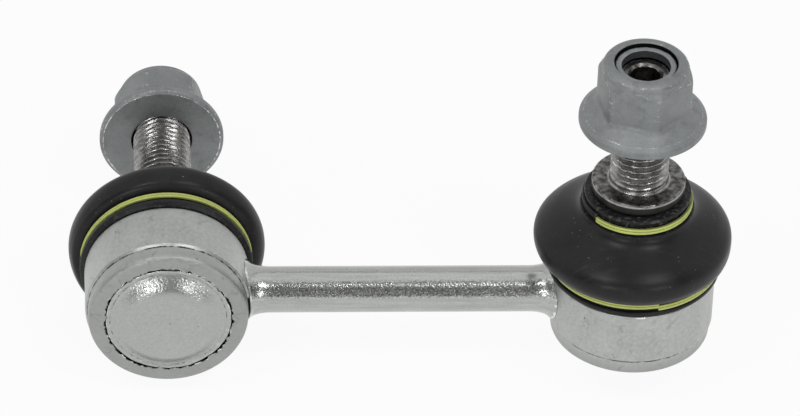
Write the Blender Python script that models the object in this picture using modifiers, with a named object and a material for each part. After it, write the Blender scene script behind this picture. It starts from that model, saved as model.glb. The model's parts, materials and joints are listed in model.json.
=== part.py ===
"""Stabilizer link: a short rod welded between two ball joints that are turned a quarter to each other.

Each joint is built once in its own frame: the ball's centre is the origin and the stud points to +Z.
The left joint's stud then points to +Y and the right joint's stud to +Z. The rod runs along X.
Lengths are in metres, and the origin is the centre of the whole link's box.
"""

import math

import bmesh
import bpy
from mathutils import Matrix, Vector, geometry

# Link
CENTRE_DISTANCE = 0.0800
CLEARANCE = 0.0003
ROUND_STEPS = 28

# Rod
ROD_RADIUS = 0.0040
FLARE_RISE = 0.0013
FLARE_RADIUS = ROD_RADIUS + FLARE_RISE
FLARE_LENGTH = 0.0025
FLARE_POINTS = 3

# Ball stud
BALL_RADIUS = 0.0075
BALL_FLAT_DEPTH = 0.0005
NECK_RADIUS = 0.0044
NECK_LENGTH = 0.0061
SEAT_RADIUS = 0.0062
SEAT_LENGTH = 0.0061
COLLAR_RADIUS = 0.0080
COLLAR_FACE = 0.0243
COLLAR_THICKNESS = 0.0022
COLLAR_EDGE = 0.0004
THREAD_RADIUS = 0.0050
THREAD_FILLET = 0.0007
STUD_END = 0.0466
STUD_CHAMFER = 0.0009
SOCKET_FLATS = 0.0050
SOCKET_DEPTH = 0.0045
BALL_POINTS = 6
FLARE_OUT_POINTS = 3

# Bearing shell
SHELL_WALL = 0.0024
SHELL_RADIUS = BALL_RADIUS + CLEARANCE + SHELL_WALL
SHELL_TOP = 0.0045
SHELL_BOTTOM = 0.0060
SHELL_LIP = 0.0030
SHELL_MOUTH_RADIUS = BALL_RADIUS + 0.0007
SHELL_POINTS = 6

# Closure plate
PLATE_THICKNESS = 0.0010
PLATE_EDGE_WALL = 0.00255
PLATE_DISC_RADIUS = 0.0060
PLATE_RISE = 0.0010
PLATE_DISH_RADIUS = 0.0052

# Housing
HOUSING_WALL = 0.00365
HOUSING_RADIUS = SHELL_RADIUS + CLEARANCE + HOUSING_WALL
HOUSING_TOP = SHELL_TOP + 0.00056
HOUSING_EDGE = 0.0003
SHOULDER_HEIGHT = 0.0031
SHOULDER_STEP = 0.0004
SPIGOT_STEP = 0.0021
SPIGOT_RADIUS = HOUSING_RADIUS - SPIGOT_STEP
SPIGOT_HEIGHT = 0.00414
SPIGOT_TOP = HOUSING_TOP + SPIGOT_HEIGHT
SPIGOT_EDGE = 0.0004
MOUTH_HOLD = 0.0007
MOUTH_RADIUS = SHELL_RADIUS - MOUTH_HOLD
MOUTH_FLARE_HEIGHT = 0.0026
MOUTH_RIM_WALL = 0.00145
MOUTH_FLARE_RADIUS = SPIGOT_RADIUS - MOUTH_RIM_WALL
PLATE_RADIUS = HOUSING_RADIUS - PLATE_EDGE_WALL
LIP_COVER = 0.0007
LIP_INNER_RADIUS = PLATE_RADIUS - LIP_COVER
LIP_THICKNESS = 0.00055
LIP_INSIDE = SHELL_BOTTOM + PLATE_THICKNESS + 2 * CLEARANCE
LIP_FACE = LIP_INSIDE + LIP_THICKNESS
LIP_ROUND = 0.0013
LIP_POINTS = 3

# Clamp rings, each a flat wire wound twice round its groove
WIRE_WIDTH = 0.0005
WIRE_THICKNESS = 0.0005
WIRE_PITCH = 0.00056
WIRE_TURNS = 2
COIL_HEIGHT = WIRE_WIDTH + WIRE_TURNS * WIRE_PITCH
COIL_STEPS = 24
UPPER_RING_START = math.radians(-164.0)
LOWER_RING_START_LEFT = math.radians(95.0)
LOWER_RING_START_RIGHT = math.radians(-77.4)

# Boot
BOOT_OVERHANG = 0.00295
BOOT_RADIUS = HOUSING_RADIUS + BOOT_OVERHANG
BOOT_WALL = 0.0015
BOOT_UNDER_ROUND = 0.0024
BOOT_UNDER_POWER = 2.3
BOOT_BELLY_RISE = 0.0032
BOOT_SHOULDER_RISE = 0.0036
BOOT_FLANK_POINTS = 6
BOOT_UNDER_POINTS = 4
FOOT_WALL = 0.00185
FOOT_LIP = 0.0007
FOOT_LIP_THICKNESS = 0.00115
FOOT_LIP_EDGE = 0.0003
FOOT_LIP_SLOPE = 0.0005
FOOT_GROOVE_RADIUS = SPIGOT_RADIUS + CLEARANCE + FOOT_WALL
FOOT_LIP_RADIUS = FOOT_GROOVE_RADIUS + FOOT_LIP
FOOT_BOTTOM = HOUSING_TOP + CLEARANCE
FOOT_GROOVE_BOTTOM = FOOT_BOTTOM + FOOT_LIP_THICKNESS
LOWER_RING_MIDDLE = FOOT_GROOVE_BOTTOM + CLEARANCE + COIL_HEIGHT / 2
BOOT_UNDERSIDE = LOWER_RING_MIDDLE + COIL_HEIGHT / 2 + CLEARANCE
BOOT_BELLY = BOOT_UNDERSIDE + BOOT_BELLY_RISE
NECK_WALL = 0.0022
NECK_LIP = 0.00045
NECK_LIP_HEIGHT = 0.0007
NECK_LIP_EDGE = 0.00025
NECK_GROOVE_RADIUS = SEAT_RADIUS + CLEARANCE + NECK_WALL
NECK_LIP_RADIUS = NECK_GROOVE_RADIUS + NECK_LIP
NECK_LIP_TOP = COLLAR_FACE - COLLAR_THICKNESS - CLEARANCE
NECK_GROOVE_TOP = NECK_LIP_TOP - NECK_LIP_HEIGHT
UPPER_RING_MIDDLE = NECK_GROOVE_TOP - CLEARANCE - COIL_HEIGHT / 2
BOOT_RIM_OVERHANG = 0.00105
BOOT_RIM = UPPER_RING_MIDDLE - COIL_HEIGHT / 2 - CLEARANCE
BOOT_RIM_RADIUS = NECK_GROOVE_RADIUS + BOOT_RIM_OVERHANG
BOOT_FLANK_DROP = 0.0029

# Flange nut
NUT_FLATS = 0.0150
NUT_HEIGHT = 0.0128
NUT_FLANGE_RADIUS = 0.0109
NUT_BEARING_EDGE = 0.00065
NUT_FLANGE_EDGE = 0.0012
NUT_FLANGE_TOP = 0.0020
NUT_FLANGE_ROUND = 0.0009
NUT_CONE_TOP = 0.0038
NUT_CROWN_HEIGHT = 0.0016
NUT_CROWN_RADIUS = 0.0073
NUT_CROWN_EDGE = 0.0007
NUT_BORE_CLEARANCE = 0.00025
NUT_LEAD_IN = 0.0006
NUT_TURN_LEFT = math.radians(11.0)
NUT_TURN_RIGHT = math.radians(41.2)

# Nut insert
INSERT_SQUEEZE = 0.00085
INSERT_WALL = 0.0011
INSERT_BORE_RADIUS = THREAD_RADIUS - INSERT_SQUEEZE
INSERT_RADIUS = INSERT_BORE_RADIUS + INSERT_WALL
INSERT_DEPTH = 0.0007
INSERT_HEIGHT = 0.0015
INSERT_TOP = NUT_HEIGHT - INSERT_DEPTH
INSERT_BOTTOM = INSERT_TOP - INSERT_HEIGHT
INSERT_EDGE = 0.0002

# Nuts on their studs: the right one is turned on until its insert meets the stud's end
RIGHT_NUT_SEAT = STUD_END + CLEARANCE - INSERT_BOTTOM
LEFT_NUT_LAG = 0.0052
LEFT_NUT_SEAT = RIGHT_NUT_SEAT + LEFT_NUT_LAG

# How far a cutter runs past the faces that it cuts
CUT_OVERRUN = 0.0010

# Place of the ball centres below the middle of the whole box
BALLS_Y = -(LEFT_NUT_SEAT + NUT_HEIGHT - BOOT_RADIUS) / 2
BALLS_Z = -(RIGHT_NUT_SEAT + NUT_HEIGHT - BOOT_RADIUS) / 2

# Colour, roughness and metallic value of each finish
FINISHES = {
    "zinc": ((0.62, 0.64, 0.63), 0.35, 1.0),
    "nut_plating": ((0.36, 0.38, 0.39), 0.50, 1.0),
    "bare_steel": ((0.42, 0.42, 0.42), 0.30, 1.0),
    "boot_rubber": ((0.020, 0.020, 0.021), 0.45, 0.0),
    "ring_wire": ((0.55, 0.60, 0.16), 0.45, 0.0),
    "shell_plastic": ((0.80, 0.79, 0.74), 0.40, 0.0),
    "insert_nylon": ((0.30, 0.31, 0.32), 0.50, 0.0),
}


def clear_scene():
    for old in list(bpy.data.objects):
        bpy.data.objects.remove(old, do_unlink=True)


def new_collection(name):
    collection = bpy.data.collections.new(name)
    bpy.context.scene.collection.children.link(collection)
    return collection


def finish_material(name):
    """Return the material for one of the finishes, making it the first time."""
    if name in bpy.data.materials:
        return bpy.data.materials[name]
    colour, roughness, metallic = FINISHES[name]
    material = bpy.data.materials.new(name)
    material.use_nodes = True
    shader = material.node_tree.nodes["Principled BSDF"]
    shader.inputs["Base Color"].default_value = (*colour, 1.0)
    shader.inputs["Roughness"].default_value = roughness
    shader.inputs["Metallic"].default_value = metallic
    return material


def joint_frame(name, x, turn, collection):
    """An empty at a ball's centre. Its +Z is the stud's direction."""
    empty = bpy.data.objects.new(name, None)
    empty.empty_display_size = BALL_RADIUS
    empty.location = (x, BALLS_Y, BALLS_Z)
    empty.rotation_euler = (turn, 0.0, 0.0)
    collection.objects.link(empty)
    return empty


def new_object(name, mesh, collection, parent=None):
    thing = bpy.data.objects.new(name, mesh)
    collection.objects.link(thing)
    thing.parent = parent
    return thing


def turned(name, profile, collection, parent=None, closed=False):
    """Turn a profile of (radius, height) points round Z. It runs down its outer side."""
    mesh = bpy.data.meshes.new(name)
    points = [(radius, 0.0, height) for radius, height in profile]
    edges = [(i, i + 1) for i in range(len(points) - 1)]
    if closed:
        edges.append((len(points) - 1, 0))
    mesh.from_pydata(points, edges, [])
    thing = new_object(name, mesh, collection, parent)
    screw = thing.modifiers.new("Turn", "SCREW")
    screw.steps = ROUND_STEPS
    screw.render_steps = ROUND_STEPS
    screw.use_merge_vertices = True
    screw.merge_threshold = 0.00002
    return thing


def prism(name, sides, flats, bottom, top, turn, collection, parent):
    """An upright prism, given by the distance across its flats."""
    shape = bmesh.new()
    corner_radius = flats / 2 / math.cos(math.pi / sides)
    bmesh.ops.create_cone(shape, cap_ends=True, segments=sides, radius1=corner_radius,
                          radius2=corner_radius, depth=top - bottom)
    # A primitive has a corner at a polar angle of zero or a quarter, so the turn is set from a known corner
    first = max(shape.verts, key=lambda v: (round(v.co.x, 6), v.co.y))
    angle = turn - math.atan2(first.co.y, first.co.x)
    bmesh.ops.rotate(shape, verts=shape.verts, matrix=Matrix.Rotation(angle, 3, "Z"))
    bmesh.ops.translate(shape, verts=shape.verts, vec=(0.0, 0.0, (top + bottom) / 2))
    mesh = bpy.data.meshes.new(name)
    shape.to_mesh(mesh)
    shape.free()
    return new_object(name, mesh, collection, parent)


def combine(thing, other, operation):
    boolean = thing.modifiers.new(operation.title(), "BOOLEAN")
    boolean.operation = operation
    boolean.solver = "EXACT"
    boolean.object = other


def arc(centre, radius, start, stop, count):
    """Points on a circle in the profile plane, from one latitude to another, ends included."""
    points = []
    for i in range(count + 1):
        angle = start + (stop - start) * i / count
        points.append((centre[0] + radius * math.cos(angle), centre[1] + radius * math.sin(angle)))
    return points


def cubic(start, start_handle, stop_handle, stop, count):
    """Points on a cubic curve in the profile plane, ends included."""
    curve = geometry.interpolate_bezier(start, start_handle, stop_handle, stop, count + 1)
    return [(point.x, point.y) for point in curve]


def inset(points, distance):
    """Profile points that climb a wall's outer side, moved square to it by the wall's thickness."""
    moved = []
    for i, (radius, height) in enumerate(points):
        before = points[max(i - 1, 0)]
        after = points[min(i + 1, len(points) - 1)]
        along = Vector((after[0] - before[0], after[1] - before[1])).normalized()
        moved.append((radius - along.y * distance, height + along.x * distance))
    return moved


def rounded_quarter(centre, semi_radius, semi_height, power, count, start, stop):
    """Points on a rounded quarter in the profile plane. A power of 2 gives an ellipse."""
    points = []
    for i in range(count + 1):
        angle = start + (stop - start) * i / count
        across = math.copysign(abs(math.cos(angle)) ** (2 / power), math.cos(angle))
        along = math.copysign(abs(math.sin(angle)) ** (2 / power), math.sin(angle))
        points.append((centre[0] + semi_radius * across, centre[1] + semi_height * along))
    return points


def eased(start, stop, count):
    """Points between two profile points along a smooth S, ends included."""
    points = []
    for i in range(count + 1):
        share = i / count
        blend = (1 - math.cos(math.pi * share)) / 2
        points.append((start[0] + (stop[0] - start[0]) * blend, start[1] + (stop[1] - start[1]) * share))
    return points


def housing_profile():
    """The welded-on cup: spigot for the boot, mouth over the bearing shell, and a rolled lip below."""
    shoulder_radius = HOUSING_RADIUS - SHOULDER_STEP
    lip_round_centre = (shoulder_radius - LIP_ROUND, -LIP_FACE + LIP_ROUND)
    shoulder = -LIP_FACE + SHOULDER_HEIGHT
    plate_pocket_radius = PLATE_RADIUS + CLEARANCE
    shell_bore_radius = SHELL_RADIUS + CLEARANCE
    profile = [
        (SPIGOT_RADIUS - SPIGOT_EDGE, SPIGOT_TOP),
        (SPIGOT_RADIUS, SPIGOT_TOP - SPIGOT_EDGE),
        (SPIGOT_RADIUS, HOUSING_TOP),
        (HOUSING_RADIUS - HOUSING_EDGE, HOUSING_TOP),
        (HOUSING_RADIUS, HOUSING_TOP - HOUSING_EDGE),
        (HOUSING_RADIUS, shoulder),
        (shoulder_radius, shoulder - SHOULDER_STEP),
    ]
    profile += arc(lip_round_centre, LIP_ROUND, 0.0, -math.pi / 2, LIP_POINTS)
    profile += [
        (LIP_INNER_RADIUS, -LIP_FACE),
        (LIP_INNER_RADIUS, -LIP_INSIDE),
        (plate_pocket_radius, -LIP_INSIDE),
        (plate_pocket_radius, -SHELL_BOTTOM),
        (shell_bore_radius, -SHELL_BOTTOM),
        (shell_bore_radius, SHELL_TOP + CLEARANCE),
        (MOUTH_RADIUS, SHELL_TOP + CLEARANCE),
        (MOUTH_RADIUS, SPIGOT_TOP - MOUTH_FLARE_HEIGHT),
        (MOUTH_FLARE_RADIUS, SPIGOT_TOP),
    ]
    return profile


def plate_profile():
    """The pressed cover under the ball: a flat rim, a slope and a raised disc in the middle."""
    rim_inside = -SHELL_BOTTOM - CLEARANCE
    rim_outside = rim_inside - PLATE_THICKNESS
    groove_radius = LIP_INNER_RADIUS - CLEARANCE
    slope_foot = rim_outside - PLATE_THICKNESS / 2
    disc_face = slope_foot - PLATE_RISE
    dish = -BALL_RADIUS - CLEARANCE
    slope_radius = groove_radius - PLATE_THICKNESS
    return [
        (0.0, dish),
        (PLATE_DISH_RADIUS, dish),
        (SHELL_MOUTH_RADIUS, rim_inside),
        (PLATE_RADIUS, rim_inside),
        (PLATE_RADIUS, rim_outside),
        (groove_radius, rim_outside),
        (groove_radius, slope_foot),
        (slope_radius, slope_foot - PLATE_RISE / 4),
        (PLATE_DISC_RADIUS + PLATE_RISE, disc_face + PLATE_RISE / 4),
        (PLATE_DISC_RADIUS, disc_face),
        (0.0, disc_face),
    ]


def shell_profile():
    """The plastic bearing shell. It closes over the ball's widest place and opens for the neck."""
    sphere_radius = BALL_RADIUS + CLEARANCE
    low = -math.asin(SHELL_BOTTOM / sphere_radius)
    high = math.asin(SHELL_LIP / sphere_radius)
    return ([(SHELL_MOUTH_RADIUS, SHELL_TOP), (SHELL_RADIUS, SHELL_TOP), (SHELL_RADIUS, -SHELL_BOTTOM)]
            + arc((0.0, 0.0), sphere_radius, low, high, SHELL_POINTS))


def stud_profile():
    """Thread, collar, boot seat, neck and ball, from the free end down."""
    collar_under = COLLAR_FACE - COLLAR_THICKNESS
    seat_bottom = collar_under - SEAT_LENGTH
    neck_start = math.acos(NECK_RADIUS / BALL_RADIUS)
    neck_top = BALL_RADIUS * math.sin(neck_start) + NECK_LENGTH
    flat_depth = BALL_RADIUS - BALL_FLAT_DEPTH
    ball_end = -math.asin(flat_depth / BALL_RADIUS)
    fillet_centre = (THREAD_RADIUS + THREAD_FILLET, COLLAR_FACE + THREAD_FILLET)
    profile = [
        (0.0, STUD_END),
        (THREAD_RADIUS - STUD_CHAMFER, STUD_END),
        (THREAD_RADIUS, STUD_END - STUD_CHAMFER),
    ]
    profile += arc(fillet_centre, THREAD_FILLET, math.pi, math.pi * 3 / 2, 2)
    profile += [
        (COLLAR_RADIUS - COLLAR_EDGE, COLLAR_FACE),
        (COLLAR_RADIUS, COLLAR_FACE - COLLAR_EDGE),
        (COLLAR_RADIUS, collar_under + COLLAR_EDGE),
        (COLLAR_RADIUS - COLLAR_EDGE, collar_under),
        (SEAT_RADIUS, collar_under),
    ]
    profile += eased((SEAT_RADIUS, seat_bottom), (NECK_RADIUS, neck_top), FLARE_OUT_POINTS)
    profile += arc((0.0, 0.0), BALL_RADIUS, neck_start, ball_end, BALL_POINTS)
    profile.append((0.0, -flat_depth))
    return profile


def boot_profile():
    """The dust boot: neck lip, clamp groove, full belly, clamp groove and foot lip, then the inside."""
    seat_radius = SEAT_RADIUS + CLEARANCE
    spigot_seat = SPIGOT_RADIUS + CLEARANCE
    flank = cubic((BOOT_RADIUS, BOOT_BELLY), (BOOT_RADIUS, BOOT_BELLY + BOOT_SHOULDER_RISE),
                  (BOOT_RIM_RADIUS, BOOT_RIM - BOOT_FLANK_DROP), (BOOT_RIM_RADIUS, BOOT_RIM), BOOT_FLANK_POINTS)
    under_centre = (BOOT_RADIUS - BOOT_UNDER_ROUND, BOOT_BELLY)
    underside = rounded_quarter(under_centre, BOOT_UNDER_ROUND, BOOT_BELLY_RISE, BOOT_UNDER_POWER,
                                BOOT_UNDER_POINTS, 0.0, -math.pi / 2)
    inner_under = rounded_quarter(under_centre, BOOT_UNDER_ROUND - BOOT_WALL, BOOT_BELLY_RISE - BOOT_WALL,
                                  BOOT_UNDER_POWER, BOOT_UNDER_POINTS // 2, -math.pi / 2, 0.0)
    inner_flank = inset(flank, BOOT_WALL)
    profile = [
        (seat_radius, NECK_LIP_TOP),
        (NECK_LIP_RADIUS - NECK_LIP_EDGE, NECK_LIP_TOP),
        (NECK_LIP_RADIUS, NECK_LIP_TOP - NECK_LIP_EDGE),
        (NECK_LIP_RADIUS, NECK_GROOVE_TOP + NECK_LIP_EDGE),
        (NECK_LIP_RADIUS - NECK_LIP_EDGE, NECK_GROOVE_TOP),
        (NECK_GROOVE_RADIUS, NECK_GROOVE_TOP),
        (NECK_GROOVE_RADIUS, BOOT_RIM),
    ]
    profile += flank[::-1] + underside[1:]
    profile += [
        (FOOT_GROOVE_RADIUS, BOOT_UNDERSIDE),
        (FOOT_GROOVE_RADIUS, FOOT_GROOVE_BOTTOM),
        (FOOT_LIP_RADIUS - FOOT_LIP_EDGE, FOOT_GROOVE_BOTTOM),
        (FOOT_LIP_RADIUS, FOOT_GROOVE_BOTTOM - FOOT_LIP_EDGE),
        (FOOT_LIP_RADIUS, FOOT_BOTTOM + FOOT_LIP_SLOPE),
        (FOOT_GROOVE_RADIUS, FOOT_BOTTOM),
        (spigot_seat, FOOT_BOTTOM),
        (spigot_seat, SPIGOT_TOP - SPIGOT_EDGE),
    ]
    profile += inner_under + inner_flank[1:-1]
    profile.append((seat_radius, BOOT_RIM - BOOT_WALL))
    return profile


def clamp_ring(name, groove_radius, middle, start, collection, parent):
    """A flat wire wound round its groove as a helix, closed at both ends."""
    inner = groove_radius + CLEARANCE
    bottom = middle - COIL_HEIGHT / 2
    shape = bmesh.new()
    corners = [(inner, bottom), (inner + WIRE_THICKNESS, bottom),
               (inner + WIRE_THICKNESS, bottom + WIRE_WIDTH), (inner, bottom + WIRE_WIDTH)]
    across = Vector((math.cos(start), math.sin(start), 0.0))
    section = [shape.verts.new(across * radius + Vector((0.0, 0.0, height))) for radius, height in corners]
    face = shape.faces.new(section)
    steps = COIL_STEPS * WIRE_TURNS
    bmesh.ops.spin(shape, geom=[face, *face.edges, *face.verts], cent=(0.0, 0.0, 0.0), axis=(0.0, 0.0, 1.0),
                   dvec=(0.0, 0.0, WIRE_PITCH / COIL_STEPS), angle=2 * math.pi * WIRE_TURNS, steps=steps)
    bmesh.ops.recalc_face_normals(shape, faces=shape.faces)
    mesh = bpy.data.meshes.new(name)
    shape.to_mesh(mesh)
    shape.free()
    return new_object(name, mesh, collection, parent)


def flange_nut(name, seat, turn, collection, cutters, parent):
    """Hexagon under a crowned top, on a coned flange, bored for the thread and the insert."""
    insert_seat = INSERT_BOTTOM - CLEARANCE
    insert_pocket_radius = INSERT_RADIUS + CLEARANCE
    bore_radius = THREAD_RADIUS + NUT_BORE_CLEARANCE
    corner_radius = NUT_FLATS / 2 / math.cos(math.pi / 6)
    corner_top = seat + NUT_HEIGHT - NUT_CROWN_HEIGHT
    hexagon = prism(name, 6, NUT_FLATS, seat + NUT_FLANGE_EDGE, seat + NUT_HEIGHT + CUT_OVERRUN, turn,
                    collection, parent)
    crown = turned(name + "_crown", [
        (0.0, seat + NUT_HEIGHT),
        (NUT_CROWN_RADIUS - NUT_CROWN_EDGE, seat + NUT_HEIGHT),
        (NUT_CROWN_RADIUS, seat + NUT_HEIGHT - NUT_CROWN_EDGE),
        (corner_radius, corner_top),
        (corner_radius + CUT_OVERRUN, corner_top - CUT_OVERRUN / 2),
        (corner_radius + CUT_OVERRUN, seat),
        (0.0, seat),
    ], cutters, parent)
    flange = turned(name + "_flange", [
        (0.0, seat + NUT_CONE_TOP),
        (NUT_FLATS / 2 - CLEARANCE, seat + NUT_CONE_TOP),
        (NUT_FLANGE_RADIUS - NUT_FLANGE_ROUND, seat + NUT_FLANGE_TOP),
        (NUT_FLANGE_RADIUS, seat + NUT_FLANGE_EDGE),
        (NUT_FLANGE_RADIUS, seat + NUT_FLANGE_EDGE / 2),
        (NUT_FLANGE_RADIUS - NUT_BEARING_EDGE, seat),
        (0.0, seat),
    ], cutters, parent)
    bore = turned(name + "_bore", [
        (0.0, seat + NUT_HEIGHT + CUT_OVERRUN),
        (insert_pocket_radius, seat + NUT_HEIGHT + CUT_OVERRUN),
        (insert_pocket_radius, seat + insert_seat),
        (bore_radius, seat + insert_seat),
        (bore_radius, seat + NUT_LEAD_IN),
        (bore_radius + NUT_LEAD_IN + CUT_OVERRUN, seat - CUT_OVERRUN),
        (0.0, seat - CUT_OVERRUN),
    ], cutters, parent)
    combine(hexagon, crown, "INTERSECT")
    combine(hexagon, flange, "UNION")
    combine(hexagon, bore, "DIFFERENCE")
    return hexagon


def nut_insert(name, seat, collection, parent):
    """The nylon locking ring under the nut's rim."""
    return turned(name, [
        (INSERT_BORE_RADIUS + INSERT_EDGE, seat + INSERT_TOP),
        (INSERT_RADIUS - INSERT_EDGE, seat + INSERT_TOP),
        (INSERT_RADIUS, seat + INSERT_TOP - INSERT_EDGE),
        (INSERT_RADIUS, seat + INSERT_BOTTOM),
        (INSERT_BORE_RADIUS, seat + INSERT_BOTTOM),
        (INSERT_BORE_RADIUS, seat + INSERT_TOP - INSERT_EDGE),
    ], collection, parent, closed=True)


def ball_stud(name, collection, cutters, parent):
    stud = turned(name, stud_profile(), collection, parent)
    socket = prism(name + "_socket", 6, SOCKET_FLATS, STUD_END - SOCKET_DEPTH, STUD_END + CUT_OVERRUN, 0.0,
                   cutters, parent)
    combine(stud, socket, "DIFFERENCE")
    return stud


def rod(name, frames, collection, cutters):
    """The rod, flared at both ends and hollowed there to the round of each housing."""
    seam_radius = HOUSING_RADIUS + CLEARANCE
    flare_start = CENTRE_DISTANCE / 2 - HOUSING_RADIUS - FLARE_LENGTH
    flare_end = flare_start + FLARE_LENGTH
    rod_end = CENTRE_DISTANCE / 2 - HOUSING_RADIUS + FLARE_RADIUS / 2
    near = eased((FLARE_RADIUS, flare_end), (ROD_RADIUS, flare_start), FLARE_POINTS)
    far = [(radius, -height) for radius, height in reversed(near)]
    profile = [(0.0, rod_end), (FLARE_RADIUS, rod_end), *near, *far, (FLARE_RADIUS, -rod_end), (0.0, -rod_end)]
    bar = turned(name, profile, collection)
    bar.location = (0.0, BALLS_Y, BALLS_Z)
    bar.rotation_euler = (0.0, math.pi / 2, 0.0)
    for side, frame in frames.items():
        seam = turned(name + "_seam_" + side, [
            (0.0, HOUSING_RADIUS), (seam_radius, HOUSING_RADIUS),
            (seam_radius, -HOUSING_RADIUS), (0.0, -HOUSING_RADIUS),
        ], cutters, frame)
        combine(bar, seam, "DIFFERENCE")
    return bar


def build_joint(side, frame, nut_seat, nut_turn, lower_ring_start, collection, cutters):
    """Every piece of one ball joint, with the finish that each one takes."""
    return {
        turned(side + "_housing", housing_profile(), collection, frame, closed=True): "zinc",
        turned(side + "_closure_plate", plate_profile(), collection, frame): "zinc",
        turned(side + "_bearing_shell", shell_profile(), collection, frame, closed=True): "shell_plastic",
        ball_stud(side + "_ball_stud", collection, cutters, frame): "bare_steel",
        turned(side + "_boot", boot_profile(), collection, frame, closed=True): "boot_rubber",
        clamp_ring(side + "_upper_clamp_ring", NECK_GROOVE_RADIUS, UPPER_RING_MIDDLE, UPPER_RING_START,
                   collection, frame): "ring_wire",
        clamp_ring(side + "_lower_clamp_ring", FOOT_GROOVE_RADIUS, LOWER_RING_MIDDLE, lower_ring_start,
                   collection, frame): "ring_wire",
        flange_nut(side + "_flange_nut", nut_seat, nut_turn, collection, cutters, frame): "nut_plating",
        nut_insert(side + "_nut_insert", nut_seat, collection, frame): "insert_nylon",
    }


def keep_shape(pieces):
    """Turn each piece's modifiers into its mesh, shade it smooth and give it its finish."""
    depsgraph = bpy.context.evaluated_depsgraph_get()
    meshes = {piece: bpy.data.meshes.new_from_object(piece.evaluated_get(depsgraph)) for piece in pieces}
    for piece, mesh in meshes.items():
        piece.modifiers.clear()
        piece.data = mesh
        mesh.name = piece.name
        mesh.shade_smooth()
        mesh.set_sharp_from_angle(angle=math.radians(30.0))
        mesh.materials.clear()
        mesh.materials.append(finish_material(pieces[piece]))


def main():
    clear_scene()
    collection = new_collection("Stabilizer link")
    cutters = new_collection("Cutters")
    frames = {
        "left": joint_frame("left_joint_centre", -CENTRE_DISTANCE / 2, -math.pi / 2, collection),
        "right": joint_frame("right_joint_centre", CENTRE_DISTANCE / 2, 0.0, collection),
    }
    pieces = {rod("rod", frames, collection, cutters): "zinc"}
    pieces.update(build_joint("left", frames["left"], LEFT_NUT_SEAT, NUT_TURN_LEFT,
                              LOWER_RING_START_LEFT, collection, cutters))
    pieces.update(build_joint("right", frames["right"], RIGHT_NUT_SEAT, NUT_TURN_RIGHT,
                              LOWER_RING_START_RIGHT, collection, cutters))
    bpy.context.view_layer.update()
    keep_shape(pieces)
    for cutter in cutters.objects:
        cutter.hide_render = True
        cutter.display_type = "WIRE"


main()
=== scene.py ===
"""Finished surfaces of the stabilizer link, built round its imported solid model.

Each joint has its own frame: the ball's centre is the origin and the stud points to +Z. Outlines are
points of (radius, height) in that frame, turned round Z. Lengths are in metres.
"""

import json
import math

import bmesh
import bpy
import numpy as np
from bpy.props import FloatProperty, FloatVectorProperty, PointerProperty
from bpy.types import Operator, Panel, PropertyGroup
from mathutils import Matrix, Vector


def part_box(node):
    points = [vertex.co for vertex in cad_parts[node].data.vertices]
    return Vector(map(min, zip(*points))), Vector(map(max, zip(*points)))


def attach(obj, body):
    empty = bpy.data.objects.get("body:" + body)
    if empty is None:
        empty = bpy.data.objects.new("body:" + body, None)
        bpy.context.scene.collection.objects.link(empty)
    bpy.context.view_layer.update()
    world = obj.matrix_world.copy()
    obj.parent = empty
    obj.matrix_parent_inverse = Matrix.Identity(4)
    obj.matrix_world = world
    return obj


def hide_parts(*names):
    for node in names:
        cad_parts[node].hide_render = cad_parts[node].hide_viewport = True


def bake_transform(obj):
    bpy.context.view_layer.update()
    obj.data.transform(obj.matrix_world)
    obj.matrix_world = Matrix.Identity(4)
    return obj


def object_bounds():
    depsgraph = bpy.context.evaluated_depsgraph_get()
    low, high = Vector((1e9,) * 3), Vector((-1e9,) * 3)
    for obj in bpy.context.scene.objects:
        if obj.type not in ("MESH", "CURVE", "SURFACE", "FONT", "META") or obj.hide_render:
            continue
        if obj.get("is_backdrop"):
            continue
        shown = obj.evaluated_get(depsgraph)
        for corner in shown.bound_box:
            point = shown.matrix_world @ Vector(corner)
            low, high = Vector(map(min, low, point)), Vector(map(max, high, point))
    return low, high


bl_info = {
    "name": "Stabilizer Link Finish",
    "version": (1, 0, 0),
    "blender": (4, 5, 0),
    "location": "View3D > Sidebar > Stabilizer Link",
    "description": "Builds the finished surfaces of a stabilizer link round its solid model",
    "category": "Add Mesh",
}

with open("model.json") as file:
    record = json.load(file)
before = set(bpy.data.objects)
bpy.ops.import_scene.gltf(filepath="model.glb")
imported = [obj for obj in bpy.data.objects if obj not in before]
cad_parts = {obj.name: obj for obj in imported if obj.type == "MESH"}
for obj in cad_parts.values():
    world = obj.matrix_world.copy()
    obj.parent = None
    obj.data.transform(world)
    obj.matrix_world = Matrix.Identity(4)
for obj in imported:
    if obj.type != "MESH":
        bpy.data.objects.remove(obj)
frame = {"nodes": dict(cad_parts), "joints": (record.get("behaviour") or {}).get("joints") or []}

SIDES = ("left", "right")
# Room between pieces that touch on the real link
GAP = 0.0003
# Steps round a turned piece, and the longest step along a straight stretch of its outline
TURN_SEGMENTS = 240
STUD_SEGMENTS = 144
NUT_SEGMENTS = 288
RUN_SPACING = 0.0003
STUD_SPACING = 0.00009
NUT_SPACING = 0.00022
INSERT_SPACING = 0.0002
# Steps in a rounded corner and in a curve of an outline
ROUND_STEPS = 5
CURVE_STEPS = 40
SHARP_ANGLE = math.radians(38.0)
# Angles in degrees between which the rubber leaves a clamp ring bare
NECK_RING_SEEN = (-143.2, 120.0)
FOOT_RING_SEEN = {"left": (-172.6, -8.6), "right": (-178.0, 170.0)}
# How square the boot is under its belly, and how flat the cone of the nut is
BELLY_POWER = 2.3
CONE_SLOPE = 1.50


def joint_place(side):
    """Where a joint's own frame lies: its ball's centre, its stud's direction and the world's X."""
    spin = next(joint for joint in frame["joints"] if joint["name"] == side + "_stud_spin")
    axis = Vector(spin["axis"])
    across = Vector((1.0, 0.0, 0.0))
    turn = Matrix((across, axis.cross(across), axis)).transposed()
    return Matrix.Translation(spin["pos_m"]) @ turn.to_4x4()


PLACES = {side: joint_place(side) for side in SIDES}


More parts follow.
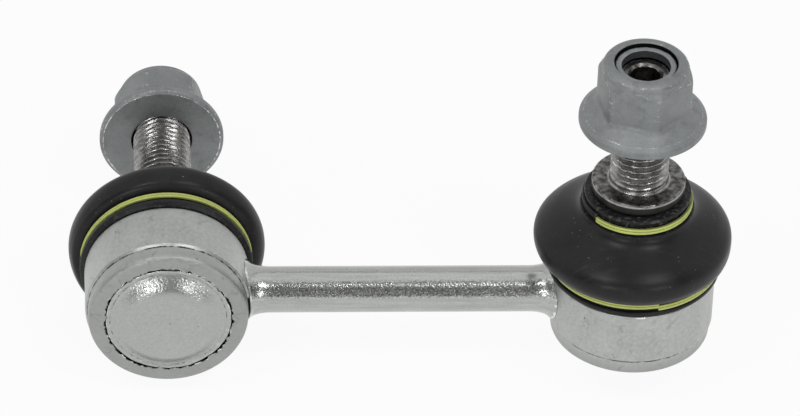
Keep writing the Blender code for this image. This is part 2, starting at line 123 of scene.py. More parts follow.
def reach(node):
    """A node's radius, lowest height and highest height in its joint's frame."""
    inverse = PLACES[node.split("_")[0]].inverted()
    low, high = (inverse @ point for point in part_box(node))
    return abs(high.x - low.x) / 2, min(low.z, high.z), max(low.z, high.z)


HOUSING_RADIUS, HOUSING_LOW, HOUSING_HIGH = reach("left_housing")
COVER_RADIUS, _, COVER_HIGH = reach("left_closure_plate")
BOOT_RADIUS, BOOT_LOW, BOOT_HIGH = reach("left_boot")
STUD_RADIUS, STUD_LOW, STUD_HIGH = reach("left_ball_stud")
NECK_RING_RADIUS, NECK_RING_LOW, NECK_RING_HIGH = reach("left_upper_clamp_ring")
FOOT_RING_RADIUS, FOOT_RING_LOW, FOOT_RING_HIGH = reach("left_lower_clamp_ring")
NUT_RADIUS, NUT_LOW, NUT_HIGH = reach("left_flange_nut")
INSERT_RADIUS = reach("left_nut_insert")[0]
FLARE_RADIUS = min(abs(point.y - PLACES["left"].translation.y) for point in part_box("rod"))
CENTRE_DISTANCE = (PLACES["right"].translation - PLACES["left"].translation).length
# The cover's rim lies between these heights, under the rolled lip
RIM_INSIDE = COVER_HIGH - 0.0003
RIM_OUTSIDE = COVER_HIGH - 0.0013
# The camera looks at a point between the joints and a little over the left ball
CAMERA_TARGET = PLACES["left"].translation + Vector((0.03946, 0.0, 0.01780))


def length(name, description, default):
    return FloatProperty(name=name, description=description, default=default, min=0.0, unit="LENGTH",
                         precision=5)


def height(name, description, default):
    return FloatProperty(name=name, description=description, default=default, unit="LENGTH", precision=5)


def share(name, description, default):
    return FloatProperty(name=name, description=description, default=default, min=0.0, max=1.0,
                         subtype="FACTOR")


def turn_angle(name, description, degrees):
    return FloatProperty(name=name, description=description, default=math.radians(degrees),
                         subtype="ANGLE")


def colour(name, description, default):
    return FloatVectorProperty(name=name, description=description, default=default, size=3, min=0.0,
                               max=1.0, subtype="COLOR")


class HousingSizes(PropertyGroup):
    radius: length("Radius", "Radius of the round body", HOUSING_RADIUS)
    left_top: height("Left Top", "Height of the left one's face under the boot's foot", 0.00495)
    right_top: height("Right Top", "Height of the right one's face under the boot's foot", BOOT_LOW - GAP)
    spigot_step: length("Spigot Step", "How far the spigot under the boot stands back", 0.0021)
    shoulder: height("Shoulder", "Height of the turned shoulder above the rolled lip", -0.00476)
    shoulder_step: length("Shoulder Step", "How far the lip stands back from the body", 0.0004)
    shoulder_bevel: length("Shoulder Bevel", "Height of the bevel between shoulder and lip", 0.00045)
    lip_round: length("Lip Round", "Radius of the lip's rolled edge", 0.0013)
    lip_inner: length("Lip Inner Radius", "Radius at which the rolled lip ends on the cover", 0.0109)
    lip_waviness: length("Lip Waviness", "How far the lip's torn edge wanders", 0.00055)
    torn_width: length("Torn Width", "Width of the edge that is torn", 0.0009)
    left_nick: turn_angle("Left Nick", "Where the left one's top edge is nicked", -109.0)
    right_nick: turn_angle("Right Nick", "Where the right one's top edge is nicked", -89.0)
    bore: length("Bore", "Radius of the bearing shell's bore", 0.0105)
    ledge: height("Ledge", "Height of the ledge that holds the bearing shell down", 0.0048)
    mouth_hold: length("Mouth Hold", "How far the ledge stands in over the bearing shell", 0.0010)
    mouth_top: height("Mouth Top", "Height from which the mouth widens for the stud's tilt", 0.0066)
    mouth_flare: length("Mouth Flare", "How much wider the mouth is at its top", 0.0011)


class CoverSizes(PropertyGroup):
    radius: length("Radius", "Outer radius, held under the rolled lip", COVER_RADIUS)
    disc_radius: length("Disc Radius", "Radius of the flat disc in the middle", 0.0056)
    dome_rise: length("Dome Rise", "How far the disc stands out past the rolled lip", 0.0016)
    dish_depth: length("Dish Depth", "Depth of the dish pressed into the inside", 0.0018)
    dish_radius: length("Dish Radius", "Radius of the dish's bottom", 0.0052)
    ledge_radius: length("Ledge Radius", "Radius of the dish's edge", 0.0082)
    bead_rise: length("Bead Rise", "How far the bead stands out past the rim", 0.0005)
    rim_radius: length("Rim Radius", "Radius of the bead inside the groove", 0.01078)
    valley_radius: length("Valley Radius", "Radius of the shallow valley inside the bead", 0.0100)


class RodSizes(PropertyGroup):
    radius: length("Radius", "Radius of the round bar", FLARE_RADIUS - 0.0013)
    flare_radius: length("Flare Radius", "Radius of the flared ends at the housings", FLARE_RADIUS)
    flare_length: length("Flare Length", "Length of each flare", 0.0025)
    flash: length("Weld Flash", "How far the squeezed-out weld stands off the flare", 0.00028)
    weld_depth: length("Weld Depth", "How deep the ends sink into the housings", 0.00015)


class StudSizes(PropertyGroup):
    collar_radius: length("Collar Radius", "Radius of the collar", STUD_RADIUS)
    collar_face: height("Collar Face", "Height of the face that the bar's eye rests on", 0.0243)
    collar_thickness: length("Collar Thickness", "Thickness of the collar", 0.0022)
    seat_radius: length("Seat Radius", "Radius of the boot's seat", 0.0062)
    seat_length: length("Seat Length", "Length of the boot's seat", 0.0061)
    neck_radius: length("Neck Radius", "Radius of the neck over the ball", 0.0044)
    neck_length: length("Neck Length", "From the ball to the taper under the seat", 0.0061)
    ball_radius: length("Ball Radius", "Radius of the ball", 0.0075)
    oiled_from: height("Oiled From", "Height from which the seat is dark with oil", 0.0160)
    thread_radius: length("Thread Radius", "Outer radius of the thread", 0.0050)
    thread_pitch: length("Thread Pitch", "Rise of the thread in one turn", 0.00125)
    thread_depth: length("Thread Depth", "Depth of the thread's groove", 0.00070)
    chamfer: length("Chamfer", "Chamfer at the free end", 0.0009)
    socket_flats: length("Socket Flats", "Distance across the flats of the end's socket", 0.0050)
    socket_depth: length("Socket Depth", "Depth of the end's socket", 0.0045)
    socket_chamfer: length("Socket Chamfer", "Chamfer at the socket's mouth", 0.0005)
    drill_point: length("Drill Point", "Depth of the cone that the drill left in the socket", 0.0006)


class BootSizes(PropertyGroup):
    radius: length("Radius", "Radius at the belly", BOOT_RADIUS)
    belly: height("Belly", "Height of the widest place", 0.01193)
    wall: length("Wall", "Thickness of the rubber", 0.0015)
    shoulder_rise: length("Shoulder Rise", "How far the shoulder stays full above the belly", 0.0036)
    flank_drop: length("Flank Drop", "How far the hollow flank falls steeply from the neck", 0.0029)
    rim_overhang: length("Rim Overhang", "How far the flank's top stands out past the groove", 0.00105)
    underside_round: length("Underside Round", "Width of the rounding under the belly", 0.0024)
    neck_lip: length("Neck Lip Radius", "Radius of the lip over the upper clamp ring", 0.00915)
    neck_groove: length("Neck Groove Radius", "Radius of the upper clamp ring's groove", 0.0087)
    foot_groove: length("Foot Groove Radius", "Radius of the lower clamp ring's groove", 0.0142)
    foot_lip: length("Foot Lip Radius", "Radius of the lip under the lower clamp ring", 0.0149)
    foot_lip_slope: length("Foot Lip Slope", "Rise of the lip's sloped underside", 0.0005)
    foot_top: height("Foot Top", "Height of the foot's inner edge", 0.0088)
    seam: length("Seam", "How far the mould's parting line stands proud", 0.00003)
    left_shift: height("Left Shift", "How far the left belly sits off its axis", 0.0002)
    right_shift: height("Right Shift", "How far the right belly sits off its axis", -0.0004)


class RingSizes(PropertyGroup):
    wire_width: length("Wire Width", "Width of the flat wire", 0.0005)
    wire_thickness: length("Wire Thickness", "Thickness of the flat wire", 0.0005)
    pitch: length("Pitch", "Rise of the wire in one turn", 0.00056)
    edge: length("Wire Edge", "Rounding of the wire's edges", 0.00012)
    neck_start: turn_angle("Neck Ring Start", "Where the upper ring's first turn starts", -143.0)
    left_foot_start: turn_angle("Left Foot Ring Start", "Where the left lower ring's first turn starts", 95.0)
    right_foot_start: turn_angle("Right Foot Ring Start", "Where the right lower ring's first turn starts",
                                 -77.4)


class NutSizes(PropertyGroup):
    flats: length("Flats", "Distance across the flats", 0.0150)
    flange_radius: length("Flange Radius", "Radius of the flange", NUT_RADIUS)
    flange_edge: length("Flange Edge", "Width of the flange's rounded edge outside the cone", 0.00085)
    cone_foot: length("Cone Foot", "Height of the cone's foot over the bearing face", 0.0022)
    height: length("Height", "Height of the nut", NUT_HIGH - NUT_LOW)
    crown_height: length("Crown Height", "Height of the round crown over the flats", 0.0013)
    crown_radius: length("Crown Radius", "Radius of the round crown", 0.00742)
    crown_round: length("Crown Round", "Width of the crown's rounded edge", 0.0016)
    chamfer_height: length("Chamfer Height", "Height of the chamfer on the corners", 0.0021)
    corner_round: length("Corner Round", "Rounding between neighbouring flats", 0.00035)
    bore: length("Bore", "Radius of the thread's bore", 0.00525)
    pocket_floor: length("Pocket Floor", "Height of the locking ring's pocket", 0.0103)
    insert_pocket: length("Insert Pocket", "Radius of the locking ring's pocket", 0.00555)
    pocket_mouth: length("Pocket Mouth", "Radius to which the rim is rolled in over the ring", 0.00540)
    left_turn: turn_angle("Left Turn", "Where a corner of the left nut points", 11.0)
    right_turn: turn_angle("Right Turn", "Where a corner of the right nut points", 41.2)


class InsertSizes(PropertyGroup):
    radius: length("Radius", "Outer radius", INSERT_RADIUS)
    bore: length("Bore", "Radius of the hole that the thread cuts into", 0.00415)
    edge: length("Edge", "Rounding of its edges", 0.00022)


class Finishes(PropertyGroup):
    zinc: colour("Zinc", "Plating of the housings, covers and rod", (0.43, 0.44, 0.425))
    nut_zinc: colour("Nut Plating", "Dull plating of the nuts", (0.246, 0.257, 0.258))
    bare_steel: colour("Bare Steel", "Machined steel of the studs", (0.34, 0.335, 0.325))
    worn_steel: colour("Worn Steel", "Steel that shines through on edges", (0.80, 0.81, 0.80))
    # Near-black for pits and oil, and for painted shade in grooves, creases, seams, bores and under the
    # collars
    grime: colour("Grime", "Dark dirt in grooves", (0.020, 0.019, 0.017))
    rubber: colour("Rubber", "Rubber of the boots", (0.0120, 0.0120, 0.0125))
    dust: colour("Dust", "Dust on the rubber", (0.21, 0.21, 0.20))
    ring: colour("Clamp Rings", "Coated wire of the clamp rings", (0.48, 0.53, 0.15))
    nylon: colour("Nylon", "Locking rings in the nuts", (0.27, 0.285, 0.29))
    shell: colour("Bearing Shell", "Plastic of the bearing shells", (0.80, 0.79, 0.74))


class StageSettings(PropertyGroup):
    camera_distance: length("Camera Distance", "From the camera to the point it looks at", 1.3039)
    camera_azimuth: turn_angle("Camera Azimuth", "Turn of the camera from the front", -4.22)
    camera_elevation: turn_angle("Camera Elevation", "Height of the camera over the floor", 38.61)
    camera_roll: turn_angle("Camera Roll", "Turn of the camera round its own line of sight", 2.42)
    lens: FloatProperty(name="Lens", description="Focal length in millimetres", default=343.95)
    room_light: share("Room Light", "Strength of the light from all round", 0.50)
    screen_level: share("Screen Level", "How bright the dark screens are", 0.17)
    wall_level: share("Wall Level", "How bright the wall behind is", 0.84)
    screen_distance: length("Screen Distance", "From the part to the dark screens", 4.5)
    box_power: FloatProperty(name="Box Power", description="Power of each soft light box in watts",
                             default=1.8, min=0.0)
    low_box_power: FloatProperty(name="Low Box Power", description="Power of each low light box in watts",
                                 default=1.5, min=0.0)
    box_distance: length("Box Distance", "From the part to each soft light box", 1.0)
    box_size: length("Box Size", "Length of each soft light box's side", 0.22)
    floor_radius: length("Floor Radius", "Radius of the pale floor", 2.4)
    floor_glow: share("Floor Glow", "Share of the floor's own white over its shadow", 0.92)


class Value:
    """What a node gives out. Sums written with it add the Math nodes that work them out."""

    def __init__(self, tree, socket):
        self.tree = tree
        self.socket = socket

    def math(self, operation, first, second):
        return self.tree.node("ShaderNodeMath", {"operation": operation}, {0: first, 1: second})

    def __add__(self, other):
        return self.math("ADD", self, other)

    def __sub__(self, other):
        return self.math("SUBTRACT", self, other)

    def __rsub__(self, other):
        return self.math("SUBTRACT", other, self)

    def __mul__(self, other):
        return self.math("MULTIPLY", self, other)

    __radd__ = __add__
    __rmul__ = __mul__


class Tree:
    """The nodes of one material, or of the world, round its shader."""

    def __init__(self, name, kind=None, shader="Principled BSDF"):
        self.owner = (bpy.data.materials if kind is None else kind).new(name)
        self.owner.use_nodes = True
        self.nodes = self.owner.node_tree.nodes
        self.links = self.owner.node_tree.links
        self.shader = self.nodes[shader]

    def feed(self, socket, value):
        """Link a value to a socket, or set the socket to a number or a colour."""
        if isinstance(value, Value):
            self.links.new(value.socket, socket)
        elif socket.type == "RGBA":
            socket.default_value = (*value, 1.0)
        else:
            socket.default_value = value

    def node(self, kind, settings=None, inputs=None, output=0):
        """Add a node: its settings first, then its sockets. Returns one output."""
        made = self.nodes.new(kind)
        for name, setting in (settings or {}).items():
            setattr(made, name, setting)
        for name, value in (inputs or {}).items():
            self.feed(made.inputs[name], value)
        return Value(self, made.outputs[output])

    def place(self, stretch=(1.0, 1.0, 1.0), turn=(0.0, 0.0, 0.0)):
        """The point of the surface in its joint's frame, as it lies at rest, turned and then stretched."""
        point = self.node("ShaderNodeAttribute", {"attribute_name": "rest"}, output="Vector")
        return self.node("ShaderNodeMapping", {"vector_type": "TEXTURE"}, {
            "Vector": point, "Rotation": turn, "Scale": tuple(1.0 / part for part in stretch)})

    def mark(self, name):
        """A value from 0 to 1 that the mesh holds, such as where its edges are worn."""
        return self.node("ShaderNodeAttribute", {"attribute_name": name}, output="Fac")

    def noise(self, size, detail=3.0, stretch=(1.0, 1.0, 1.0), roughness=0.55, turn=(0.0, 0.0, 0.0)):
        """Noise whose largest blotches are about the given size in metres."""
        return self.node("ShaderNodeTexNoise", None, {
            "Vector": self.place(stretch, turn), "Scale": 1.0 / size, "Detail": detail,
            "Roughness": roughness})

    def scratches(self, size, width, stretch, turn):
        """Thin lines, 1 on a line: where a stretched noise crosses its middle value."""
        level = self.noise(size, 1.0, stretch, 0.5, turn)
        off_middle = self.node("ShaderNodeMath", {"operation": "ABSOLUTE"}, {0: level - 0.5})
        return self.step(off_middle, width, width * 0.35)

    def cells(self, size, stretch=(1.0, 1.0, 1.0)):
        """Distance to the nearest of many scattered points, in cells of the given size in metres."""
        return self.node("ShaderNodeTexVoronoi", None, {
            "Vector": self.place(stretch), "Scale": 1.0 / size})

    def step(self, value, start, stop):
        """Smooth step from 0 at start to 1 at stop. Start may be the larger."""
        low, high, to_low, to_high = (start, stop, 0.0, 1.0) if start < stop else (stop, start, 1.0, 0.0)
        return self.node("ShaderNodeMapRange", {"interpolation_type": "SMOOTHSTEP"}, {
            "Value": value, "From Min": low, "From Max": high, "To Min": to_low, "To Max": to_high})

    def patchy(self, mark, size, detail, gain, offset, start, stop):
        """A mark that noise breaks up into patches."""
        return self.step(self.mark(mark) * (self.noise(size, detail) * gain + offset), start, stop)

    def scaled(self, tone, amount):
        """A colour made lighter or darker by an amount that may vary."""
        return self.node("ShaderNodeVectorMath", {"operation": "SCALE"}, {0: tone, "Scale": amount})

    def layered(self, colour, *layers):
        """A colour with others laid over it in turn, each as strongly as its own factor says."""
        for tone, factor in layers:
            inputs = {"Factor": factor, 6: colour, 7: tone}
            colour = self.node("ShaderNodeMix", {"data_type": "RGBA"}, inputs, 2)
        return colour

    def bump(self, height, distance):
        """Normal of a surface that stands distance higher where height is 1."""
        return self.node("ShaderNodeBump", None, {"Height": height, "Distance": distance})

    def seen(self):
        """1 for what the camera sees by itself, in a mirror or through glass."""
        rays = [self.node("ShaderNodeLightPath", output=f"Is {kind} Ray")
                for kind in ("Camera", "Glossy", "Transmission")]
        return rays[0] + rays[1] + rays[2]

    def finish(self, **inputs):
        """Feed the shader's sockets, named with _ for each space."""
        for name, value in inputs.items():
            self.feed(self.shader.inputs[name.replace("_", " ")], value)


def tint(tone, amount):
    """A plain colour made lighter or darker."""
    return tuple(min(1.0, part * amount) for part in tone)


def zinc_housing(tones):
    """Satin zinc on the housings: fine grain, a few dark pits, straight scratches, painted shade in the step
    and the lip's groove.
    """
    tree = Tree("zinc_housing")
    blotches = tree.noise(0.0050, 5.0)
    grain = tree.noise(0.00060, 3.0, roughness=0.65)
    streaks = tree.noise(0.0009, 4.0, (1.0, 1.0, 0.10))
    pit = tree.step(tree.cells(0.0021), 0.085, 0.045) * tree.step(tree.noise(0.0030, 1.0), 0.52, 0.60)
    patches = tree.step(tree.noise(0.0034, 2.0), 0.46, 0.62)
    scratch = tree.scratches(0.0030, 0.016, (1.0, 1.0, 0.06), (0.0, 0.75, 0.30))
    crossing = tree.scratches(0.0026, 0.016, (1.0, 1.0, 0.07), (0.35, -0.95, 0.0))
    marked = (scratch + crossing * 0.8) * patches
    worn = tree.patchy("wear", 0.0012, 5.0, 1.7, -0.30, 0.34, 0.58)
    # Painted shade: darkens the crease of the shoulder step and the rolled lip's groove
    dirt_and_shade = tree.patchy("grime", 0.0008, 4.0, 2.6, -0.50, 0.26, 0.70)
    lip = tree.mark("rough")
    rolled = tree.noise(0.00060, 4.0)
    base = tree.layered(
        tree.scaled(tones.zinc, blotches * 0.30 + grain * 0.56 + streaks * 0.16 + 0.49),
        (tint(tones.zinc, 0.58), lip * rolled * 0.9), (tint(tones.zinc, 0.50), marked * 0.42),
        (tones.worn_steel, worn), (tones.grime, pit * 0.85), (tones.grime, dirt_and_shade))
    relief = grain * 1.3 + streaks * 0.3 + lip * rolled * 4.5 - pit * 1.5 - marked * 0.35
    tree.finish(
        Base_Color=base, Metallic=1.0,
        Roughness=blotches * 0.10 + grain * 0.12 + lip * 0.03 - worn * 0.18 + dirt_and_shade * 0.15 + 0.30,
        Normal=tree.bump(relief, 0.000020))


def zinc_cover(tones):
    """Plating of the pressed covers: hammered sheen on the slope, smooth disc, painted shade in the groove
    and the valley.
    """
    tree = Tree("zinc_cover")
    blotches = tree.noise(0.0040, 4.0)
    hammered = tree.noise(0.00040, 1.0)
    grain = tree.noise(0.00040, 4.0, roughness=0.70)
    slope = tree.mark("slope")
    worn = tree.patchy("wear", 0.0010, 4.0, 2.4, -0.75, 0.22, 0.54)
    # Painted shade in the groove under the rolled lip and in the valley inside the bead
    dirt_and_shade = tree.patchy("grime", 0.0008, 4.0, 2.6, -0.55, 0.30, 0.74)
    pit = tree.step(tree.cells(0.0026), 0.060, 0.030)
    base = tree.layered(
        tree.scaled(tones.zinc, blotches * 0.14 + hammered * 0.14 + grain * 0.30 + 0.67),
        (tones.worn_steel, worn * 0.8), (tones.grime, pit * 0.7), (tones.grime, dirt_and_shade))
    tree.finish(
        Base_Color=base, Metallic=1.0,
        Roughness=blotches * 0.10 - worn * 0.12 - slope * 0.03 + dirt_and_shade * 0.20 + 0.27,
        Normal=tree.bump(hammered * (slope * 4.0 + 0.4) + grain * 0.5, 0.000020))


def zinc_rod(tones):
    """Plated rod: smooth and bright, drawn along its length, dimpled along its front, with painted shade at
    the weld seams and painted reflection speckle on its front band.
    """
    tree = Tree("zinc_rod")
    blotches = tree.noise(0.0045, 4.0)
    drawn = tree.noise(0.0006, 4.0, (1.0, 1.0, 0.08))
    lines = tree.noise(0.00035, 3.0, (1.0, 1.0, 0.02))
    dimples = tree.cells(0.00070, (1.0, 1.0, 0.75))
    fine = tree.noise(0.00030, 1.0)
    worn = tree.patchy("wear", 0.0009, 4.0, 1.7, -0.30, 0.34, 0.58)
    # Painted shade in the crevice where each end meets its housing
    dirt_and_shade = tree.patchy("grime", 0.0007, 4.0, 1.4, 0.30, 0.32, 0.62)
    pit = tree.step(tree.cells(0.0026), 0.055, 0.028)
    front = tree.mark("mottled")
    # Painted reflection: colour speckle only on the front band, where the rod mirrors the dark front screen
    reflection_speckle = (fine - 0.5) * (front * 2.0 + 0.26)
    base = tree.layered(
        tree.scaled(tones.zinc, blotches * 0.22 + drawn * 0.40 + lines * 0.24 + reflection_speckle + 0.55),
        (tones.worn_steel, worn), (tones.grime, pit * 0.6), (tones.grime, dirt_and_shade))
    relief = (dimples * 0.5 + fine * 1.5) * (front + 0.04) + drawn * 0.8
    tree.finish(
        Base_Color=base, Metallic=1.0,
        Roughness=blotches * 0.08 - worn * 0.06 + dirt_and_shade * 0.20 + front * 0.08 + 0.13,
        Normal=tree.bump(relief, 0.000026))


def nut_plating(tones):
    """Dull grey plating with soft dark smudges, metal worn bright in spots on the edges, and painted shade
    inside the bore and pocket.
    """
    tree = Tree("nut_plating")
    blotches = tree.noise(0.0036, 5.0)
    grain = tree.noise(0.00045, 4.0, roughness=0.70)
    smudge = tree.step(tree.noise(0.0020, 4.0), 0.52, 0.74)
    chips = tree.noise(0.0009, 5.0, roughness=0.65)
    worn = tree.step(tree.mark("wear") * (chips * 1.8 - 0.38), 0.30, 0.50)
    # Painted shade inside the nut's bore and pocket
    dirt_and_shade = tree.patchy("grime", 0.0008, 4.0, 1.2, 0.35, 0.30, 0.62)
    base = tree.layered(
        tree.scaled(tones.nut_zinc, blotches * 0.46 + grain * 0.44 + 0.54),
        (tint(tones.nut_zinc, 0.66), smudge * 0.6), (tones.worn_steel, worn * 0.8), (tones.grime, dirt_and_shade))
    tree.finish(
        Base_Color=base, Metallic=0.85, Roughness=grain * 0.12 - worn * 0.26 + 0.44,
        Normal=tree.bump(grain * 0.9 + chips * 1.3, 0.000022))


def bare_steel(tones):
    """Machined steel of the studs: turned rings, dark oily patches, bright crests and edges, oil under the
    collar, and painted shade in the grooves, on the collar's top and on the end.
    """
    tree = Tree("bare_steel")
    blotches = tree.noise(0.0016, 4.0)
    rings = tree.noise(0.0016, 2.0, (0.05, 0.05, 14.0))
    grain = tree.noise(0.00028, 3.0)
    oily = tree.step(blotches, 0.44, 0.60)
    worn = tree.patchy("wear", 0.0008, 5.0, 1.8, -0.34, 0.30, 0.56)
    # Oil under the collar, and painted shade in the thread's grooves, on the collar's top and on the end in
    # the nut's bore
    dirt_and_shade = tree.patchy("grime", 0.0011, 4.0, 1.3, 0.27, 0.30, 0.74)
    base = tree.layered(
        tree.scaled(tones.bare_steel, blotches * 0.40 + grain * 0.40 + 0.62),
        (tint(tones.bare_steel, 0.40), oily * 0.6), (tones.worn_steel, worn), (tones.grime, dirt_and_shade * 0.95))
    tree.finish(
        Base_Color=base, Metallic=1.0,
        Roughness=grain * 0.10 + oily * 0.06 + dirt_and_shade * 0.10 - worn * 0.08 + 0.19,
        Normal=tree.bump(rings * 0.5 + grain * 0.8 + blotches * 1.1, 0.000022))


def black_rubber(tones):
    """Black rubber with a soft sheen, faint scuffs, and dust that settles in specks and on the neck."""
    tree = Tree("black_rubber")
    blotches = tree.noise(0.0050, 4.0)
    pores = tree.noise(0.00045, 4.0, roughness=0.7)
    scuff = tree.step(tree.noise(0.0040, 3.0, (1.0, 5.0, 1.5)), 0.56, 0.80)
    patches = tree.step(tree.noise(0.0060, 2.0), 0.50, 0.62)
    specks = tree.step(tree.cells(0.0011), 0.120, 0.060) * patches
    flecks = tree.step(tree.cells(0.0034), 0.045, 0.022)
    dusty = tree.mark("grime") * tree.step(tree.noise(0.0007, 5.0), 0.52, 0.72)
    base = tree.layered(
        tree.scaled(tones.rubber, blotches * 1.1 + pores * 0.9 + 0.20),
        (tint(tones.dust, 0.16), scuff * 0.45), (tones.dust, specks * 0.55),
        (tones.dust, flecks * 0.60), (tint(tones.dust, 0.9), dusty * 0.45))
    tree.finish(
        Base_Color=base, Specular_IOR_Level=0.17,
        Roughness=blotches * 0.12 + scuff * 0.10 + specks * 0.2 + dusty * 0.2 + 0.27,
        Normal=tree.bump(pores * 0.8 + specks * 0.8 + flecks + dusty * 2.5, 0.000014))


def ring_coating(tones):
    """Yellow-green coating of the clamp rings, black where rubber covers them, with painted shade between the
    wire's turns.
    """
    tree = Tree("ring_coating")
    blotches = tree.noise(0.0030, 4.0)
    grain = tree.noise(0.00030, 3.0)
    # Painted shade along the wire's edges, in the crease between its two turns
    dirt_and_shade = tree.patchy("grime", 0.0011, 4.0, 1.0, 0.30, 0.36, 0.78)
    base = tree.layered(
        tree.scaled(tones.ring, blotches * 0.36 + grain * 0.20 + 0.70),
        (tint(tones.ring, 0.30), dirt_and_shade * 0.75), (tones.rubber, tree.mark("covered")))
    tree.finish(Base_Color=base, Roughness=blotches * 0.16 + 0.38, Specular_IOR_Level=0.30,
                Normal=tree.bump(grain + blotches, 0.000008))


def locking_nylon(tones):
    """Grey nylon, mottled where the tool rolled the nut's rim over it, with painted shade down its bore and
    at its gap to the nut.
    """
    tree = Tree("locking_nylon")
    mottled = tree.noise(0.0006, 5.0, roughness=0.65)
    blotches = tree.noise(0.0022, 3.0)
    # Random dark mottle, and painted shade down the bore and at the gap to the nut's rim
    dirt_and_shade = tree.step(mottled + tree.mark("grime") * 0.45, 0.50, 0.84)
    base = tree.layered(tree.scaled(tones.nylon, blotches * 0.6 + mottled * 1.1 + 0.05),
                        (tint(tones.nylon, 0.06), dirt_and_shade * 0.9))
    tree.finish(Base_Color=base, Roughness=mottled * 0.20 + 0.42, Specular_IOR_Level=0.25,
                Normal=tree.bump(mottled, 0.000040))


def bearing_plastic(tones):
    """Smooth off-white bearing plastic with a film of grease."""
    tree = Tree("bearing_plastic")
    point = tree.node("ShaderNodeTexCoord", output="Object")
    streaks = tree.node("ShaderNodeTexNoise", None, {"Vector": point, "Scale": 260.0, "Detail": 4.0})
    tree.finish(Base_Color=tree.scaled(tones.shell, streaks * 0.16 + 0.88), Roughness=streaks * 0.20 + 0.28,
                Normal=tree.bump(streaks, 0.000020))


def corner(radius, height, round_size=0.0, wear=0.0):
    """One corner of an outline: its place, its rounding, and how worn it is."""
    return radius, height, round_size, wear


def smooth_run(points):
    """Outline points along a curve, which need no rounding."""
    return [corner(radius, height) for radius, height in points]


def arc(centre, semi_radius, semi_height, start, stop, power=2.0, steps=CURVE_STEPS):
    """Points on a rounded quarter from one latitude in degrees to another. A power of 2 is an ellipse."""
    points = []
    for angle in np.radians(np.linspace(start, stop, steps + 1)):
        across = math.copysign(abs(math.cos(angle)) ** (2 / power), math.cos(angle))
        along = math.copysign(abs(math.sin(angle)) ** (2 / power), math.sin(angle))
        points.append((centre[0] + semi_radius * across, centre[1] + semi_height * along))
    return points


def swept_curve(ends, handles):
    """Points along a cubic curve between two ends, led by two handles."""
    hull = [Vector(point) for point in (ends[0], handles[0], handles[1], ends[1])]
    points = []
    for t in np.linspace(0.0, 1.0, CURVE_STEPS + 1):
        weights = ((1 - t) ** 3, 3 * t * (1 - t) ** 2, 3 * t * t * (1 - t), t ** 3)
        points.append(tuple(sum((p * w for p, w in zip(hull, weights)), Vector((0.0, 0.0)))))
    return points


def round_corners(corners):
    """Swap each corner that has a rounding for a short curve. Returns (radius, height, wear) points."""
    points = []
    for i, (radius, height, round_size, wear) in enumerate(corners):
        here = Vector((radius, height))
        if round_size == 0.0:
            points.append((radius, height, wear))
            continue
        back = Vector(corners[i - 1][:2]) - here
        ahead = Vector(corners[(i + 1) % len(corners)][:2]) - here
        cut = round_size / math.tan(back.angle(ahead) / 2)
        cut = min(cut, 0.48 * back.length, 0.48 * ahead.length)
        start = here + back.normalized() * cut
        stop = here + ahead.normalized() * cut
        for step in range(ROUND_STEPS + 1):
            t = step / ROUND_STEPS
            point = start * (1 - t) ** 2 + here * 2 * t * (1 - t) + stop * t ** 2
            points.append((point.x, point.y, wear))
    return points


def divide_runs(points, spacing, closed):
    """Add points along straight runs, so that no two neighbours are further apart than the spacing."""
    result = []
    last = len(points) if closed else len(points) - 1
    for i in range(last):
        here = np.array(points[i])
        ahead = np.array(points[(i + 1) % len(points)])
        pieces = max(1, math.ceil(np.hypot(*(ahead - here)[:2]) / spacing))
        for piece in range(pieces):
            point = here + (ahead - here) * piece / pieces
            point[2] = max(here[2], ahead[2]) if pieces == 1 else (here[2] if piece == 0 else 0.0)
            result.append(point)
    if not closed:
        result.append(np.array(points[-1]))
    return np.array(result)


def ripple(angle, seed, strength, waves=(3, 5, 8, 13, 21, 34, 55)):
    """A wander round a ring that joins up with itself, from about -1 to 1 times the strength."""
    random = np.random.default_rng(seed)
    total = np.zeros_like(angle)
    for wave in waves:
        total += np.sin(wave * angle + random.uniform(0.0, 2 * math.pi)) / math.sqrt(wave)
    return strength * total


def smooth_least(first, second, width):
    """The lesser of two values, with a rounded change from one to the other."""
    share_of_second = np.clip(0.5 + 0.5 * (first - second) / width, 0.0, 1.0)
    return first + (second - first) * share_of_second - width * share_of_second * (1 - share_of_second)


def smooth_most(first, second, width):
    return -smooth_least(-first, -second, width)


def smooth_step(value, start, stop):
    t = np.clip((value - start) / (stop - start), 0.0, 1.0)
    return t * t * (3 - 2 * t)


def ridge(distance, width):
    """1 where the distance is nought, falling to a third at the width and to nothing past it."""
    return np.exp(-(distance / width) ** 2)


def polygon_radius(angle, flats, turn, sides=6):
    """Distance from the middle of a regular polygon to its side, at an angle from one of its corners."""
    slice_angle = 2 * math.pi / sides
    from_middle = np.mod(angle - turn, slice_angle) - slice_angle / 2
    return flats / 2 / np.cos(from_middle)


def grid_faces(rows, columns, loop_rows=False, loop_columns=True):
    """Faces between the points of a grid, whose last row or column may join up with its first."""
    row = np.arange(rows if loop_rows else rows - 1)[:, None]
    column = np.arange(columns if loop_columns else columns - 1)[None, :]
    below = (row + 1) % rows
    beside = (column + 1) % columns
    return np.stack((row * columns + column, below * columns + column,
                     below * columns + beside, row * columns + beside), axis=-1).reshape(-1, 4).tolist()


def add_object(name, data):
    """A new object in the scene."""
    thing = bpy.data.objects.new(name, data)
    bpy.context.scene.collection.objects.link(thing)
    return thing


